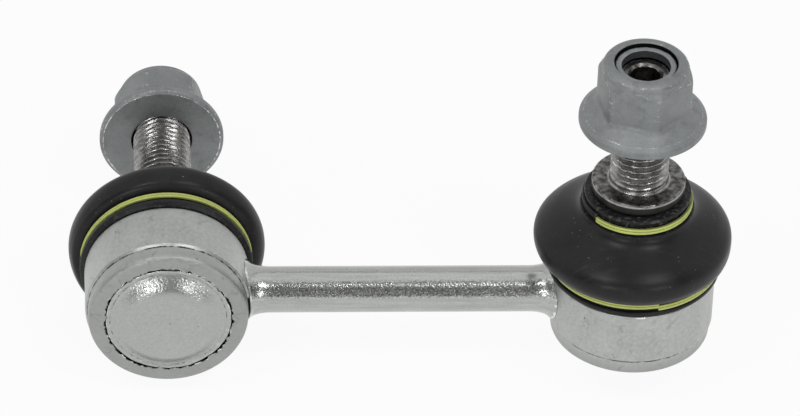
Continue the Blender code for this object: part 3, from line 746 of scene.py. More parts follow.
def closed_body(name, points, faces, marks, place):
    """A smooth closed object from points and faces, with its marks, set in its place."""
    mesh = bpy.data.meshes.new(name)
    mesh.from_pydata(points.tolist(), [], faces)
    rest = mesh.attributes.new("rest", "FLOAT_VECTOR", "POINT")
    rest.data.foreach_set("vector", points.astype(np.float32).ravel())
    for mark, values in marks.items():
        layer = mesh.attributes.new(mark, "FLOAT", "POINT")
        layer.data.foreach_set("value", np.clip(values, 0.0, 1.0).astype(np.float32).ravel())
    shape = bmesh.new()
    shape.from_mesh(mesh)
    bmesh.ops.remove_doubles(shape, verts=shape.verts, dist=1e-8)
    bmesh.ops.recalc_face_normals(shape, faces=shape.faces)
    shape.to_mesh(mesh)
    shape.free()
    mesh.shade_smooth()
    mesh.set_sharp_from_angle(angle=SHARP_ANGLE)
    thing = add_object(name, mesh)
    thing.matrix_world = place
    return thing


def turned_body(name, corners, place, reshape, segments=TURN_SEGMENTS, spacing=RUN_SPACING, closed=True):
    """Turn an outline round Z into a closed mesh and set it in its place.

    reshape(angle, radius, height, marks) may move the points and write marks on them. The mesh keeps
    each point's place in the joint's frame as rest, and its marks for the finishes.
    """
    outline = divide_runs(round_corners(corners), spacing, closed)
    rows = len(outline)
    radius, height, wear = (np.repeat(column[:, None], segments, axis=1) for column in outline.T)
    angle = np.repeat(np.linspace(0.0, 2 * math.pi, segments, endpoint=False)[None, :], rows, axis=0)
    marks = {"wear": wear, "grime": np.zeros_like(wear)}
    radius, height = reshape(angle, radius, height, marks)
    points = np.stack((radius * np.cos(angle), radius * np.sin(angle), height), axis=-1).reshape(-1, 3)
    return closed_body(name, points, grid_faces(rows, segments, closed), marks, place)


def dress(thing, material, node, body=None):
    """Give a piece its finish, hide the solid that it stands for, and let it ride on a body."""
    thing.data.materials.append(bpy.data.materials[material])
    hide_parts(node)
    if body:
        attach(thing, body)


def housing_corners(sizes, top):
    """Outer side from the spigot's top down to the rolled lip, then the inside back up."""
    spigot = sizes.radius - sizes.spigot_step
    lip = sizes.radius - sizes.shoulder_step
    lip_inside = RIM_OUTSIDE - GAP
    pocket = COVER_RADIUS + GAP
    mouth = sizes.bore - sizes.mouth_hold
    return [
        corner(spigot, HOUSING_HIGH, 0.0004),
        corner(spigot, top, 0.0001),
        corner(sizes.radius, top, 0.00030, 0.4),
        corner(sizes.radius, sizes.shoulder, 0.00015, 0.54),
        corner(lip, sizes.shoulder - sizes.shoulder_bevel, 0.0001),
        corner(lip, HOUSING_LOW, sizes.lip_round),
        corner(sizes.lip_inner, HOUSING_LOW, 0.00014, 0.85),
        corner(sizes.lip_inner, lip_inside),
        corner(pocket, lip_inside),
        corner(pocket, COVER_HIGH + GAP),
        corner(sizes.bore, COVER_HIGH + GAP),
        corner(sizes.bore, sizes.ledge),
        corner(mouth, sizes.ledge),
        corner(mouth, sizes.mouth_top),
        corner(mouth + sizes.mouth_flare, HOUSING_HIGH),
    ]


class LINK_OT_housings(Operator):
    """Build both housings, with their turned shoulder and the lip that is rolled over the cover"""
    bl_idname = "link.housings"
    bl_label = "Housings"

    def execute(self, context):
        sizes = context.scene.link_housing
        lip = sizes.radius - sizes.shoulder_step
        for seed, side in enumerate(SIDES):
            top = getattr(sizes, side + "_top")
            nick = getattr(sizes, side + "_nick")

            def reshape(angle, radius, height, marks):
                on_lip = smooth_step(height, sizes.shoulder, HOUSING_LOW)
                from_edge = np.hypot(radius - sizes.lip_inner, height - HOUSING_LOW)
                near_edge = 1 - smooth_step(from_edge, 0.0, sizes.torn_width)
                torn = ripple(angle, 11 + seed, 0.46) + ripple(angle, 31 + seed, 1.1, (29, 43, 67, 97))
                from_step = np.hypot(radius - lip, height - sizes.shoulder + sizes.shoulder_bevel)
                # Painted shade in the rolled lip's groove along its torn edge, and in the crease of the
                # shoulder step
                on_edge = np.maximum(near_edge ** 3 * 0.7, radius < sizes.lip_inner + 0.00005)
                marks["grime"] = np.maximum(on_edge, ridge(from_step, 0.00012) * 0.8)
                marks["rough"] = on_lip
                from_nick = (np.mod(angle - nick + math.pi, 2 * math.pi) - math.pi) * sizes.radius
                by_top = ridge(height - top + 0.0002, 0.00028) * (radius > sizes.radius - 0.0005)
                marks["wear"] = np.maximum(marks["wear"], by_top * ridge(from_nick, 0.0011) * 1.6)
                swell = ripple(angle, 51 + seed, 0.000018, (2, 3, 5)) * on_lip
                return radius + near_edge * np.minimum(torn, 0.40) * sizes.lip_waviness + swell, height
            thing = turned_body(side + "_turned_housing", housing_corners(sizes, top), PLACES[side], reshape)
            dress(thing, "zinc_housing", side + "_housing", "link")
        return {"FINISHED"}


def cover_corners(sizes):
    """Inside from the middle out to the rim, then the outer face with its groove, slope and disc."""
    dish = COVER_HIGH - sizes.dish_depth
    disc = HOUSING_LOW - sizes.dome_rise
    bead = RIM_OUTSIDE - sizes.bead_rise
    slope = swept_curve(((sizes.valley_radius, bead + 0.00010), (sizes.disc_radius, disc)),
                        ((sizes.valley_radius - 0.0011, bead), (sizes.disc_radius + 0.0021, disc)))
    return [
        corner(0.0, dish),
        corner(sizes.dish_radius, dish, 0.0006),
        corner(sizes.ledge_radius, RIM_INSIDE, 0.0006),
        corner(sizes.radius, RIM_INSIDE, 0.0002),
        corner(sizes.radius, RIM_OUTSIDE, 0.0002),
        corner(sizes.rim_radius, RIM_OUTSIDE, 0.0001),
        corner(sizes.rim_radius, bead, 0.00018, 0.62),
        corner(sizes.valley_radius + 0.00022, bead, 0.00012, 0.5),
        *smooth_run(slope),
        corner(0.0, disc),
    ]


class LINK_OT_covers(Operator):
    """Build the pressed covers that close the housings under the balls"""
    bl_idname = "link.covers"
    bl_label = "Closure Covers"

    def execute(self, context):
        sizes = context.scene.link_cover
        for seed, side in enumerate(SIDES):
            def reshape(angle, radius, height, marks):
                below = height < RIM_OUTSIDE + 0.0001
                # Painted shade: the groove under the rolled lip and the valley inside the bead are darkened
                rim = smooth_step(radius, sizes.rim_radius - 0.0001, sizes.rim_radius + 0.0001)
                valley = ridge(radius - sizes.valley_radius, 0.00014) * 0.62
                marks["grime"] = below * np.maximum(rim, valley)
                slope = (smooth_step(radius, sizes.disc_radius + 0.0006, sizes.disc_radius + 0.0022)
                         * (1 - smooth_step(radius, sizes.valley_radius - 0.0004, sizes.valley_radius)))
                from_top = np.abs(np.degrees(np.mod(angle + 1.5 * math.pi, 2 * math.pi) - math.pi))
                marks["slope"] = slope * (0.30 + 0.70 * ridge(from_top - 34.0, 22.0))
                outer = height < COVER_HIGH - sizes.dish_depth + 0.0001
                dent = ripple(angle, 71 + seed, 0.000020, (2, 3, 5, 8)) * slope * outer
                torn = below * smooth_step(radius, sizes.valley_radius, sizes.rim_radius)
                return radius + torn * ripple(angle, 75 + seed, 0.00007), height + dent
            thing = turned_body(side + "_pressed_cover", cover_corners(sizes), PLACES[side], reshape,
                                closed=False)
            dress(thing, "zinc_cover", side + "_closure_plate", "link")
        return {"FINISHED"}


class LINK_OT_rod(Operator):
    """Build the rod, flared and hollowed to each housing's round, with weld flash at both seams"""
    bl_idname = "link.rod"
    bl_label = "Rod"

    def execute(self, context):
        sizes = context.scene.link_rod
        housing = context.scene.link_housing.radius
        half = CENTRE_DISTANCE / 2 - housing + sizes.weld_depth
        flare = sizes.flare_radius
        inner = half - sizes.flare_length
        near = swept_curve(((flare, half), (sizes.radius, inner - 0.0014)),
                           ((flare - 0.0009, half - 0.0010), (sizes.radius, inner + 0.0007)))
        far = [(radius, -along) for radius, along in reversed(near)]
        corners = [corner(0.0, half), *smooth_run(near), *smooth_run(far), corner(0.0, -half)]

        def reshape(angle, radius, height, marks):
            from_end = half - np.abs(height)
            at_end = 1 - smooth_step(from_end, 0.0, sizes.flare_length * 1.3)
            bead = (1 - smooth_step(from_end, 0.00035, 0.00090)) * (radius > flare * 0.85)
            uneven = 0.55 + ripple(angle, 92, 0.2, (8, 13))
            uneven += 0.45 * np.sign(height) * ripple(angle, 91, 0.7, (2, 3, 5))
            flash = bead * np.clip(uneven, 0.15, 1.2) * sizes.flash
            # Its local -X is up in the world and +Y is the back
            upward = -np.cos(angle)
            # The left housing's axis runs along world Y and the right one's along world Z
            lateral = np.where(height > 0, np.sin(angle), upward) * (radius + flash)
            hollow = housing - np.sqrt(housing ** 2 - lateral ** 2)
            marks["wear"] = bead * 0.72
            # Painted shade in the crevice at each weld seam
            marks["grime"] = 1 - smooth_step(from_end, 0.00005, 0.00030)
            # Band on the front that mirrors the dark front screen; its colour speckle is painted reflection
            band = smooth_step(upward, 0.20, 0.36) * (1 - smooth_step(upward, 0.76, 0.92))
            marks["mottled"] = band * (np.sin(angle) < 0.0)
            return radius + flash, height + np.sign(height) * hollow * at_end

        middle = (PLACES["left"].translation + PLACES["right"].translation) / 2
        place = Matrix.Translation(middle) @ Matrix.Rotation(math.pi / 2, 4, "Y")
        thing = turned_body("welded_rod", corners, place, reshape, closed=False)
        dress(thing, "zinc_rod", "rod", "link")
        return {"FINISHED"}


class LINK_OT_bearing_shells(Operator):
    """Finish the plastic shells that the balls turn in"""
    bl_idname = "link.bearing_shells"
    bl_label = "Bearing Shells"

    def execute(self, context):
        for side in SIDES:
            shell = frame["nodes"][side + "_bearing_shell"]
            shell.data.materials.clear()
            shell.data.materials.append(bpy.data.materials["bearing_plastic"])
        return {"FINISHED"}


def stud_corners(sizes):
    """Socket, free end, thread, collar, boot seat, neck and ball."""
    under = sizes.collar_face - sizes.collar_thickness
    seat_bottom = under - sizes.seat_length
    neck_start = math.degrees(math.acos(sizes.neck_radius / sizes.ball_radius))
    neck_top = sizes.ball_radius * math.sin(math.radians(neck_start)) + sizes.neck_length
    ball_end = math.degrees(math.asin(STUD_LOW / sizes.ball_radius))
    socket = sizes.socket_flats / 2
    socket_floor = STUD_HIGH - sizes.socket_depth
    neck = swept_curve(((sizes.seat_radius, seat_bottom), (sizes.neck_radius, neck_top)),
                       ((sizes.seat_radius, seat_bottom - 0.0018), (sizes.neck_radius, neck_top + 0.0014)))
    return [
        corner(0.0, socket_floor - sizes.drill_point),
        corner(socket, socket_floor),
        corner(socket, STUD_HIGH - sizes.socket_chamfer),
        corner(socket + sizes.socket_chamfer, STUD_HIGH, 0.0001, 0.4),
        corner(sizes.thread_radius - sizes.chamfer, STUD_HIGH, 0.00015, 0.95),
        corner(sizes.thread_radius, STUD_HIGH - sizes.chamfer, 0.0002),
        corner(sizes.thread_radius, sizes.collar_face, 0.0005),
        corner(sizes.collar_radius, sizes.collar_face, 0.00042, 0.75),
        corner(sizes.collar_radius, under, 0.0003),
        corner(sizes.seat_radius, under, 0.0001),
        *smooth_run(neck),
        *smooth_run(arc((0.0, 0.0), sizes.ball_radius, sizes.ball_radius, neck_start, ball_end)),
        corner(0.0, STUD_LOW),
    ]


class LINK_OT_studs(Operator):
    """Build the ball studs with their cut thread, worn collar and the socket in their end"""
    bl_idname = "link.studs"
    bl_label = "Ball Studs"

    def execute(self, context):
        sizes = context.scene.link_stud
        on_face = sizes.collar_face + 0.0001
        socket_bottom = STUD_HIGH - sizes.socket_depth - 0.0001
        rim = sizes.thread_radius - sizes.chamfer
        for seed, side in enumerate(SIDES):
            def reshape(angle, radius, height, marks):
                in_socket = (radius <= sizes.socket_flats / 2 + 0.00001) & (height > socket_bottom)
                hexagon = polygon_radius(angle, sizes.socket_flats, 0.0)
                radius = np.where(in_socket & (radius > 0.0), hexagon, radius)
                turns = height / sizes.thread_pitch - angle / (2 * math.pi)
                from_crest = np.abs(np.mod(turns, 1.0) - 0.5) * 2
                groove = np.clip((from_crest - 0.16) / 0.66, 0.0, 1.0)
                cut = smooth_step(height, on_face + 0.0002, on_face + 0.0016)
                on_thread = (height > on_face) & (radius > rim - 0.00005)
                depth = np.minimum(sizes.thread_depth, radius - rim)
                radius = radius - on_thread * cut * groove * np.maximum(depth, 0.0)
                chipped = 0.5 + 0.5 * ripple(angle + height * 900, 111 + seed, 0.5)
                on_rim = (height > STUD_HIGH - 0.0002) & (radius >= rim - 0.00034)
                worn = np.where(on_thread, (groove < 0.16) * chipped * cut, marks["wear"])
                marks["wear"] = np.where(on_rim, 0.85, worn)
                # Painted shade on the end face and in the socket deep in the nut's bore, and on the collar's
                # top under the nut
                end_face = (height > socket_bottom) & (radius < rim - 0.00034)
                under_collar = (height < sizes.collar_face - 0.0006) & (height > sizes.oiled_from)
                on_collar = (height > sizes.collar_face - 0.0003) & (height < on_face)
                on_collar &= radius > sizes.thread_radius + 0.0004
                # Painted shade in the thread's grooves; the seat and the collar's side below the collar's
                # face are dark with oil
                in_thread = on_thread * cut * smooth_step(groove, 0.60, 1.0) * 0.62
                oil_and_shade = np.maximum(under_collar, 0.60 * (end_face | on_collar))
                marks["grime"] = np.maximum(in_thread, oil_and_shade)
                return radius, height
            thing = turned_body(side + "_threaded_stud", stud_corners(sizes), PLACES[side], reshape,
                                STUD_SEGMENTS, STUD_SPACING, closed=False)
            dress(thing, "bare_steel", side + "_ball_stud", side + "_stud")
        return {"FINISHED"}


def inner_side(points, wall):
    """A curve that climbs the rubber's outer side, moved square to itself by the rubber's thickness."""
    run = np.array(points)
    along = np.gradient(run, axis=0)
    along /= np.linalg.norm(along, axis=1)[:, None]
    return (run + np.column_stack((-along[:, 1], along[:, 0])) * wall).tolist()


def boot_flank(sizes):
    """Outer curve from the belly up to the neck's groove."""
    rim = (sizes.neck_groove + sizes.rim_overhang, NECK_RING_LOW - GAP)
    return swept_curve(((sizes.radius, sizes.belly), rim), (
        (sizes.radius, sizes.belly + sizes.shoulder_rise), (rim[0], rim[1] - sizes.flank_drop)))


def boot_underside(sizes, inset=0.0, steps=CURVE_STEPS):
    """Curve round from the belly down to the foot's groove, set in from the rubber's outer side."""
    centre = (sizes.radius - sizes.underside_round, sizes.belly)
    depth = sizes.belly - FOOT_RING_HIGH - GAP - inset
    return arc(centre, sizes.underside_round - inset, depth, 0.0, -90.0, BELLY_POWER, steps)


def boot_upper_corners(sizes, seat):
    """Neck lip, groove and flank down to the belly, then the inside back up to the neck."""
    flank = boot_flank(sizes)
    lip_low = NECK_RING_HIGH + GAP
    groove_low = NECK_RING_LOW - GAP
    return [
        corner(seat, BOOT_HIGH, 0.0001),
        corner(sizes.neck_lip, BOOT_HIGH, 0.00028),
        corner(sizes.neck_lip, lip_low, 0.00028),
        corner(sizes.neck_groove, lip_low, 0.00012),
        corner(sizes.neck_groove, groove_low, 0.00012),
        corner(*flank[-1], 0.00030),
        *smooth_run(reversed(flank[:-1])),
        *smooth_run(inner_side(flank, sizes.wall)[:-1]),
        corner(seat, groove_low - sizes.wall),
    ]


def boot_lower_corners(sizes, spigot, bottom):
    """Belly, underside, groove and foot lip, then the inside back up to the belly."""
    underside = boot_underside(sizes)
    groove_low = FOOT_RING_LOW - GAP
    return [
        *smooth_run(underside),
        corner(sizes.foot_groove, underside[-1][1], 0.00015),
        corner(sizes.foot_groove, groove_low, 0.00010),
        corner(sizes.foot_lip, groove_low, 0.00030),
        corner(sizes.foot_lip, bottom + sizes.foot_lip_slope, 0.00015),
        corner(sizes.foot_groove, bottom, 0.0001),
        corner(spigot, bottom),
        corner(spigot, sizes.foot_top, 0.0003),
        *smooth_run(reversed(boot_underside(sizes, sizes.wall, 12))),
    ]


class LINK_OT_boots(Operator):
    """Build the rubber boots in two halves that meet at the belly"""
    bl_idname = "link.boots"
    bl_label = "Boots"

    def execute(self, context):
        sizes = context.scene.link_boot
        housing = context.scene.link_housing
        seat = context.scene.link_stud.seat_radius + GAP
        spigot = housing.radius - housing.spigot_step + GAP
        for seed, side in enumerate(SIDES):
            bottom = getattr(housing, side + "_top") + GAP
            shift = getattr(sizes, side + "_shift")

            def reshape(angle, radius, height, marks):
                neck_dust = smooth_step(height, 0.0178, 0.0200)
                foot_dust = (1 - smooth_step(height, bottom, bottom + 0.0008)) * 0.5
                marks["grime"] = np.maximum(neck_dust, foot_dust)
                above_ring = smooth_step(height, FOOT_RING_HIGH + GAP, FOOT_RING_HIGH + 0.0015)
                outer = smooth_step(radius, sizes.foot_groove, sizes.foot_groove + 0.0016) * above_ring
                seam = ridge(height - sizes.belly - 0.0009, 0.00010) * sizes.seam
                soft = ripple(angle, 131 + seed, 0.00003, (2, 3, 5, 8)) - 0.00008
                radius = radius + outer * (seam - sizes.seam + soft)
                by_belly = ridge(height - sizes.belly, 0.0030) * above_ring
                across = radius * np.cos(angle) + by_belly * shift
                depth = radius * np.sin(angle)
                angle[:] = np.arctan2(depth, across)
                return np.hypot(across, depth), height
            place = PLACES[side]
            lower = turned_body(side + "_boot_lower_half", boot_lower_corners(sizes, spigot, bottom), place,
                                reshape)
            dress(lower, "black_rubber", side + "_boot")
            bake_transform(lower)
            upper = turned_body(side + "_boot_upper_half", boot_upper_corners(sizes, seat), place, reshape)
            dress(upper, "black_rubber", side + "_boot")
            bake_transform(upper)
        return {"FINISHED"}


def wire_section(sizes):
    """Outline of the flat wire with its rounded edges, as (across, along) from its middle."""
    points = []
    for quarter, (side_across, side_along) in enumerate(((1, 1), (-1, 1), (-1, -1), (1, -1))):
        across = side_across * (sizes.wire_thickness / 2 - sizes.edge)
        along = side_along * (sizes.wire_width / 2 - sizes.edge)
        for t in np.linspace(0.0, math.pi / 2, 5) + quarter * math.pi / 2:
            points.append((across + sizes.edge * math.cos(t), along + sizes.edge * math.sin(t)))
    return np.array(points)


def wound_wire(name, sizes, outer, low, start, place, seen):
    """A flat wire wound twice as a helix, with blunt ends. Rubber covers it outside the two angles in
    degrees between which it is seen."""
    section = wire_section(sizes)
    around = len(section)
    turns = np.linspace(0.0, 2.0, 2 * TURN_SEGMENTS + 1)
    angle = start + 2 * math.pi * turns[:, None]
    radius = outer - sizes.wire_thickness / 2 + section[None, :, 0]
    height = low + sizes.wire_width / 2 + section[None, :, 1] + sizes.pitch * turns[:, None]
    points = np.stack((radius * np.cos(angle), radius * np.sin(angle), height + 0 * angle), axis=-1)
    last = (len(turns) - 1) * around
    caps = [list(range(around)), list(range(last, last + around))]
    edge = np.abs(section[None, :, 1]) / (sizes.wire_width / 2) + 0 * angle
    degrees = np.degrees(np.mod(angle + 0 * edge - math.radians(seen[0]), 2 * math.pi))
    width = seen[1] - seen[0]
    covered = np.maximum(smooth_step(degrees, width - 1.5, width), 1 - smooth_step(degrees, 0.0, 1.0))
    # Painted shade along the wire's edges, where its turns meet
    marks = {"grime": edge ** 6, "covered": covered}
    return closed_body(name, points.reshape(-1, 3), grid_faces(len(turns), around) + caps, marks, place)


class LINK_OT_clamp_rings(Operator):
    """Wind the clamp rings round the boots' necks and feet"""
    bl_idname = "link.clamp_rings"
    bl_label = "Clamp Rings"

    def execute(self, context):
        sizes = context.scene.link_ring
        for side in SIDES:
            neck = wound_wire(side + "_neck_ring", sizes, NECK_RING_RADIUS, NECK_RING_LOW,
                              sizes.neck_start, PLACES[side], NECK_RING_SEEN)
            dress(neck, "ring_coating", side + "_upper_clamp_ring", side + "_boot_neck")
            foot = wound_wire(side + "_foot_ring", sizes, FOOT_RING_RADIUS, FOOT_RING_LOW,
                              getattr(sizes, side + "_foot_start"), PLACES[side], FOOT_RING_SEEN[side])
            dress(foot, "ring_coating", side + "_lower_clamp_ring", "link")
        return {"FINISHED"}


def across_corners(flats):
    """Radius of a hexagon's corners."""
    return flats / 2 / math.cos(math.pi / 6)


def nut_corners(sizes, seat):
    """Outer side of the nut's envelope from the top down, then the bearing face and the bore."""
    top = seat + sizes.height
    corner_radius = across_corners(sizes.flats)
    crown_low = top - sizes.crown_height
    crown = arc((sizes.crown_radius - sizes.crown_round, crown_low), sizes.crown_round, sizes.crown_height,
                90.0, 0.0, 2.2, steps=16)
    chamfer_low = crown_low - sizes.chamfer_height
    chamfer = swept_curve(((sizes.crown_radius, crown_low), (corner_radius, chamfer_low)),
                          ((sizes.crown_radius + 0.0001, crown_low - 0.0004),
                           (corner_radius - 0.0001, chamfer_low + 0.0009)))
    return [
        *smooth_run(crown),
        *smooth_run(chamfer[1:]),
        corner(corner_radius, seat + sizes.cone_foot + 0.0009),
        corner(sizes.flange_radius - sizes.flange_edge, seat + sizes.cone_foot, 0.0004, 0.66),
        corner(sizes.flange_radius, seat + 0.0014, 0.0006, 0.2),
        corner(sizes.flange_radius, seat + 0.0003, 0.0003, 0.5),
        corner(sizes.flange_radius - 0.0006, seat, 0.00015, 0.8),
        corner(sizes.bore + 0.0001, seat, 0.0001),
        corner(sizes.bore, seat + 0.0003),
        corner(sizes.bore, seat + sizes.pocket_floor),
        corner(sizes.insert_pocket, seat + sizes.pocket_floor),
        corner(sizes.insert_pocket, top - 0.0005, 0.0001),
        corner(sizes.pocket_mouth, top - 0.0002, 0.0001),
        corner(sizes.pocket_mouth + 0.00015, top, 0.0001, 0.5),
    ]


class LINK_OT_nuts(Operator):
    """Build the flange nuts: a hexagon that grows out of the coned flange under a crowned top"""
    bl_idname = "link.nuts"
    bl_label = "Flange Nuts"

    def execute(self, context):
        sizes = context.scene.link_nut
        corner_radius = across_corners(sizes.flats) - sizes.corner_round
        for side in SIDES:
            _, seat, top = reach(side + "_flange_nut")
            turn = getattr(sizes, side + "_turn")

            def reshape(angle, radius, height, marks):
                over_seat = height - seat
                outer = (over_seat > sizes.cone_foot) & (radius > sizes.insert_pocket + 0.0004)
                hexagon = polygon_radius(angle, sizes.flats, turn)
                hexagon = smooth_least(hexagon, np.full_like(hexagon, corner_radius), 0.0007)
                trimmed = smooth_least(radius, hexagon, 0.00035)
                cone = sizes.flange_radius - sizes.flange_edge - (over_seat - sizes.cone_foot) * CONE_SLOPE
                at_corner = smooth_step(hexagon, corner_radius - 0.00045, corner_radius - 0.0001)
                on_hexagon = (over_seat > 0.0040) & (height < top - 0.0016)
                at_crown = ridge(radius - hexagon, 0.00012) * (height > top - 0.0034)
                on_round = ridge(radius - sizes.crown_radius + 0.00035, 0.00030) * (height > top - 0.0013)
                at_foot = ridge(trimmed - cone, 0.00035)
                worn = np.maximum(at_corner * on_hexagon * 0.50, at_crown * 0.60)
                worn = np.maximum(worn, np.maximum(on_round * 0.54, at_foot * 0.5))
                marks["wear"] = np.where(outer, worn, marks["wear"])
                # Painted shade: the bore and the pocket round the locking ring go dark
                inside = (radius < sizes.insert_pocket + 0.0001) & (over_seat > 0.00005)
                marks["grime"] = (inside & (height < top - 0.00025)) * 1.0
                return np.where(outer, smooth_most(trimmed, cone, 0.0010), radius), height
            thing = turned_body(side + "_hex_nut", nut_corners(sizes, seat), PLACES[side], reshape,
                                NUT_SEGMENTS, NUT_SPACING)
            dress(thing, "nut_plating", side + "_flange_nut", side + "_nut")
        return {"FINISHED"}


class LINK_OT_inserts(Operator):
    """Build the nylon locking rings under the nuts' rims"""
    bl_idname = "link.inserts"
    bl_label = "Nut Inserts"

    def execute(self, context):
        sizes = context.scene.link_insert
        for seed, side in enumerate(SIDES):
            _, low, high = reach(side + "_nut_insert")
            corners = [
                corner(sizes.bore, high, sizes.edge),
                corner(sizes.radius, high, sizes.edge),
                corner(sizes.radius, low),
                corner(sizes.bore, low),
            ]

            def reshape(angle, radius, height, marks):
                on_top = smooth_step(height, high - 0.0003, high)
                # Painted shade at the gap to the nut's rim and down the bore
                at_gap = on_top * smooth_step(radius, sizes.radius - 0.0004, sizes.radius)
                in_bore = (radius < sizes.bore + 0.00008) & (height < high - 0.0001)
                marks["grime"] = np.maximum(at_gap, in_bore)
                return radius, height - on_top * (0.5 + ripple(angle, 151 + seed, 0.25)) * 0.00012
            thing = turned_body(side + "_locking_ring", corners, PLACES[side], reshape,
                                spacing=INSERT_SPACING)
            dress(thing, "locking_nylon", side + "_nut_insert", side + "_nut_slider")
        return {"FINISHED"}


class LINK_OT_finishes(Operator):
    """Make every material of the link from its colours"""
    bl_idname = "link.finishes"
    bl_label = "Finishes"

    def execute(self, context):
        for make in (zinc_housing, zinc_cover, zinc_rod, nut_plating, bare_steel, black_rubber,
                     ring_coating, locking_nylon, bearing_plastic):
            make(context.scene.link_finishes)
        return {"FINISHED"}


def direction(azimuth, elevation):
    """Unit vector from the part, by its turn from the front (-Y) towards +X and its height."""
    return Vector((math.sin(azimuth) * math.cos(elevation), -math.cos(azimuth) * math.cos(elevation),
                   math.sin(elevation)))


def aim(thing, place, target, roll=0.0):
    """Put a lamp or the camera in its place, looking at a target."""
    thing.location = place
    thing.rotation_mode = "QUATERNION"
    look = (target - place).to_track_quat("-Z", "Y")
    thing.rotation_quaternion = look @ Matrix.Rotation(roll, 3, "Z").to_quaternion()


def add_camera(settings):
    """Stand the camera where the photograph was taken from, aimed between the joints."""
    data = bpy.data.cameras.new("camera")
    data.lens = settings.lens
    data.sensor_width = 36.0
    camera = add_object("camera", data)
    toward = direction(settings.camera_azimuth, settings.camera_elevation)
    place = CAMERA_TARGET + toward * settings.camera_distance
    aim(camera, place, CAMERA_TARGET, settings.camera_roll)
    bpy.context.scene.camera = camera


def add_soft_box(name, settings, azimuth, elevation, power):
    """A square lamp that looks at the part and isn't seen itself."""
    data = bpy.data.lights.new(name, "AREA")
    data.size = settings.box_size
    data.energy = power
    lamp = add_object(name, data)
    place = direction(math.radians(azimuth), math.radians(elevation)) * settings.box_distance
    aim(lamp, place, Vector((0.0, 0.0, 0.0)))
    lamp.visible_camera = False


def set_room(settings):
    """White room for the camera and for reflections, dimmer for the light that it gives."""
    tree = Tree("room", bpy.data.worlds, "Background")
    level = tree.node("ShaderNodeMapRange", None, {"Value": tree.seen(), "To Min": settings.room_light})
    tree.finish(Color=(1.0, 1.0, 1.0), Strength=level)
    bpy.context.scene.world = tree.owner


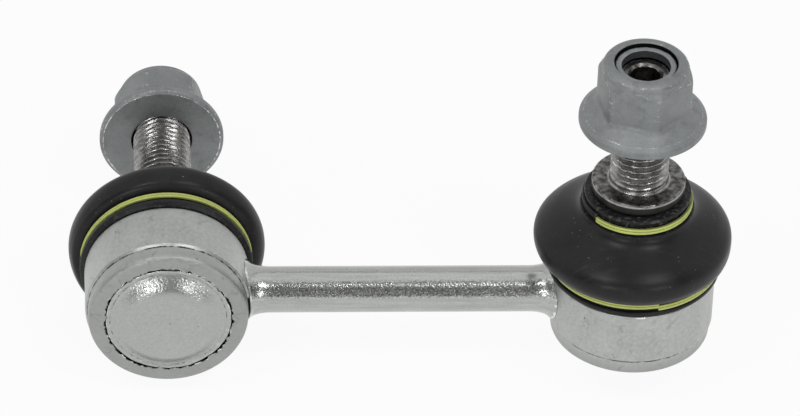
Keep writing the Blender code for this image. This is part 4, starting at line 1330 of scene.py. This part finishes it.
def add_floor(settings):
    """Pale floor that glows white to the camera and still takes the part's shadow."""
    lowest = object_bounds()[0][2]
    shape = bmesh.new()
    bmesh.ops.create_circle(shape, cap_ends=True, segments=96, radius=settings.floor_radius)
    mesh = bpy.data.meshes.new("pale_floor")
    shape.to_mesh(mesh)
    shape.free()
    floor = add_object("pale_floor", mesh)
    floor.location.z = lowest
    tree = Tree("floor_white")
    tree.finish(Base_Color=(0.82, 0.82, 0.82), Roughness=0.9)
    pale = Value(tree, tree.shader.outputs["BSDF"])
    glow = tree.node("ShaderNodeEmission")
    mix = tree.node("ShaderNodeMixShader", None, {"Fac": tree.seen() * settings.floor_glow, 1: pale, 2: glow})
    tree.feed(tree.nodes["Material Output"].inputs["Surface"], mix)
    mesh.materials.append(tree.owner)
    floor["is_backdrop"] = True


def add_screen(name, settings, azimuths, elevations, level):
    """A curved screen far from the part, for its shiny surfaces to reflect, as in a studio."""
    columns = np.radians(np.linspace(*azimuths, 25))
    rows = np.radians(np.linspace(*elevations, 13))
    points = [direction(azimuth, elevation) * settings.screen_distance for elevation in rows
              for azimuth in columns]
    mesh = bpy.data.meshes.new(name)
    mesh.from_pydata(points, [], grid_faces(len(rows), len(columns), loop_columns=False))
    screen = add_object(name, mesh)
    screen.visible_camera = False
    screen.visible_diffuse = False
    screen.visible_shadow = False
    tree = Tree(name)
    tree.finish(Base_Color=(0.0, 0.0, 0.0), Specular_IOR_Level=0.0, Emission_Color=(1.0, 1.0, 1.0),
                Emission_Strength=level)
    mesh.materials.append(tree.owner)
    screen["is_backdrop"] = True


class LINK_OT_stage(Operator):
    """Set up the camera, the soft light boxes, the white room and the pale floor"""
    bl_idname = "link.stage"
    bl_label = "Stage"

    def execute(self, context):
        settings = context.scene.link_stage
        context.scene.view_settings.view_transform = "Standard"
        add_camera(settings)
        set_room(settings)
        add_floor(settings)
        add_screen("front_screen", settings, (-75.0, 75.0), (-1.0, 76.0), settings.screen_level)
        add_screen("back_batten", settings, (120.0, 240.0), (46.5, 49.5), settings.screen_level)
        add_screen("back_wall", settings, (110.0, 250.0), (0.5, 46.0), settings.wall_level)
        add_soft_box("left_box", settings, -42.0, 55.0, settings.box_power)
        add_soft_box("right_box", settings, 34.0, 55.0, settings.box_power)
        add_soft_box("low_left_box", settings, -24.0, 15.0, settings.low_box_power)
        add_soft_box("low_right_box", settings, 27.0, 16.0, settings.low_box_power * 0.85)
        return {"FINISHED"}


GROUPS = {
    "link_housing": HousingSizes,
    "link_cover": CoverSizes,
    "link_rod": RodSizes,
    "link_stud": StudSizes,
    "link_boot": BootSizes,
    "link_ring": RingSizes,
    "link_nut": NutSizes,
    "link_insert": InsertSizes,
    "link_finishes": Finishes,
    "link_stage": StageSettings,
}

# In the order in which they are run
OPERATORS = (LINK_OT_finishes, LINK_OT_housings, LINK_OT_covers, LINK_OT_rod, LINK_OT_bearing_shells,
             LINK_OT_studs, LINK_OT_boots, LINK_OT_clamp_rings, LINK_OT_nuts, LINK_OT_inserts, LINK_OT_stage)


class LINK_PT_parts(Panel):
    """Sizes, colours and build buttons of the stabilizer link"""
    bl_idname = "LINK_PT_parts"
    bl_label = "Stabilizer Link"
    bl_space_type = "VIEW_3D"
    bl_region_type = "UI"
    bl_category = "Stabilizer Link"

    def draw(self, context):
        for operator in OPERATORS:
            self.layout.operator(operator.bl_idname)
        for name, group in GROUPS.items():
            box = self.layout.box()
            box.label(text=name.removeprefix("link_").title())
            for field in group.__annotations__:
                box.prop(getattr(context.scene, name), field)


def register():
    for kind in (*GROUPS.values(), *OPERATORS, LINK_PT_parts):
        bpy.utils.register_class(kind)
    for name, group in GROUPS.items():
        setattr(bpy.types.Scene, name, PointerProperty(type=group))


def unregister():
    for name in GROUPS:
        delattr(bpy.types.Scene, name)
    for kind in reversed((*GROUPS.values(), *OPERATORS, LINK_PT_parts)):
        bpy.utils.unregister_class(kind)


def main():
    register()
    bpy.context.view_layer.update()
    for operator in OPERATORS:
        getattr(bpy.ops.link, operator.bl_idname.removeprefix("link."))()


if __name__ == "__main__":
    main()
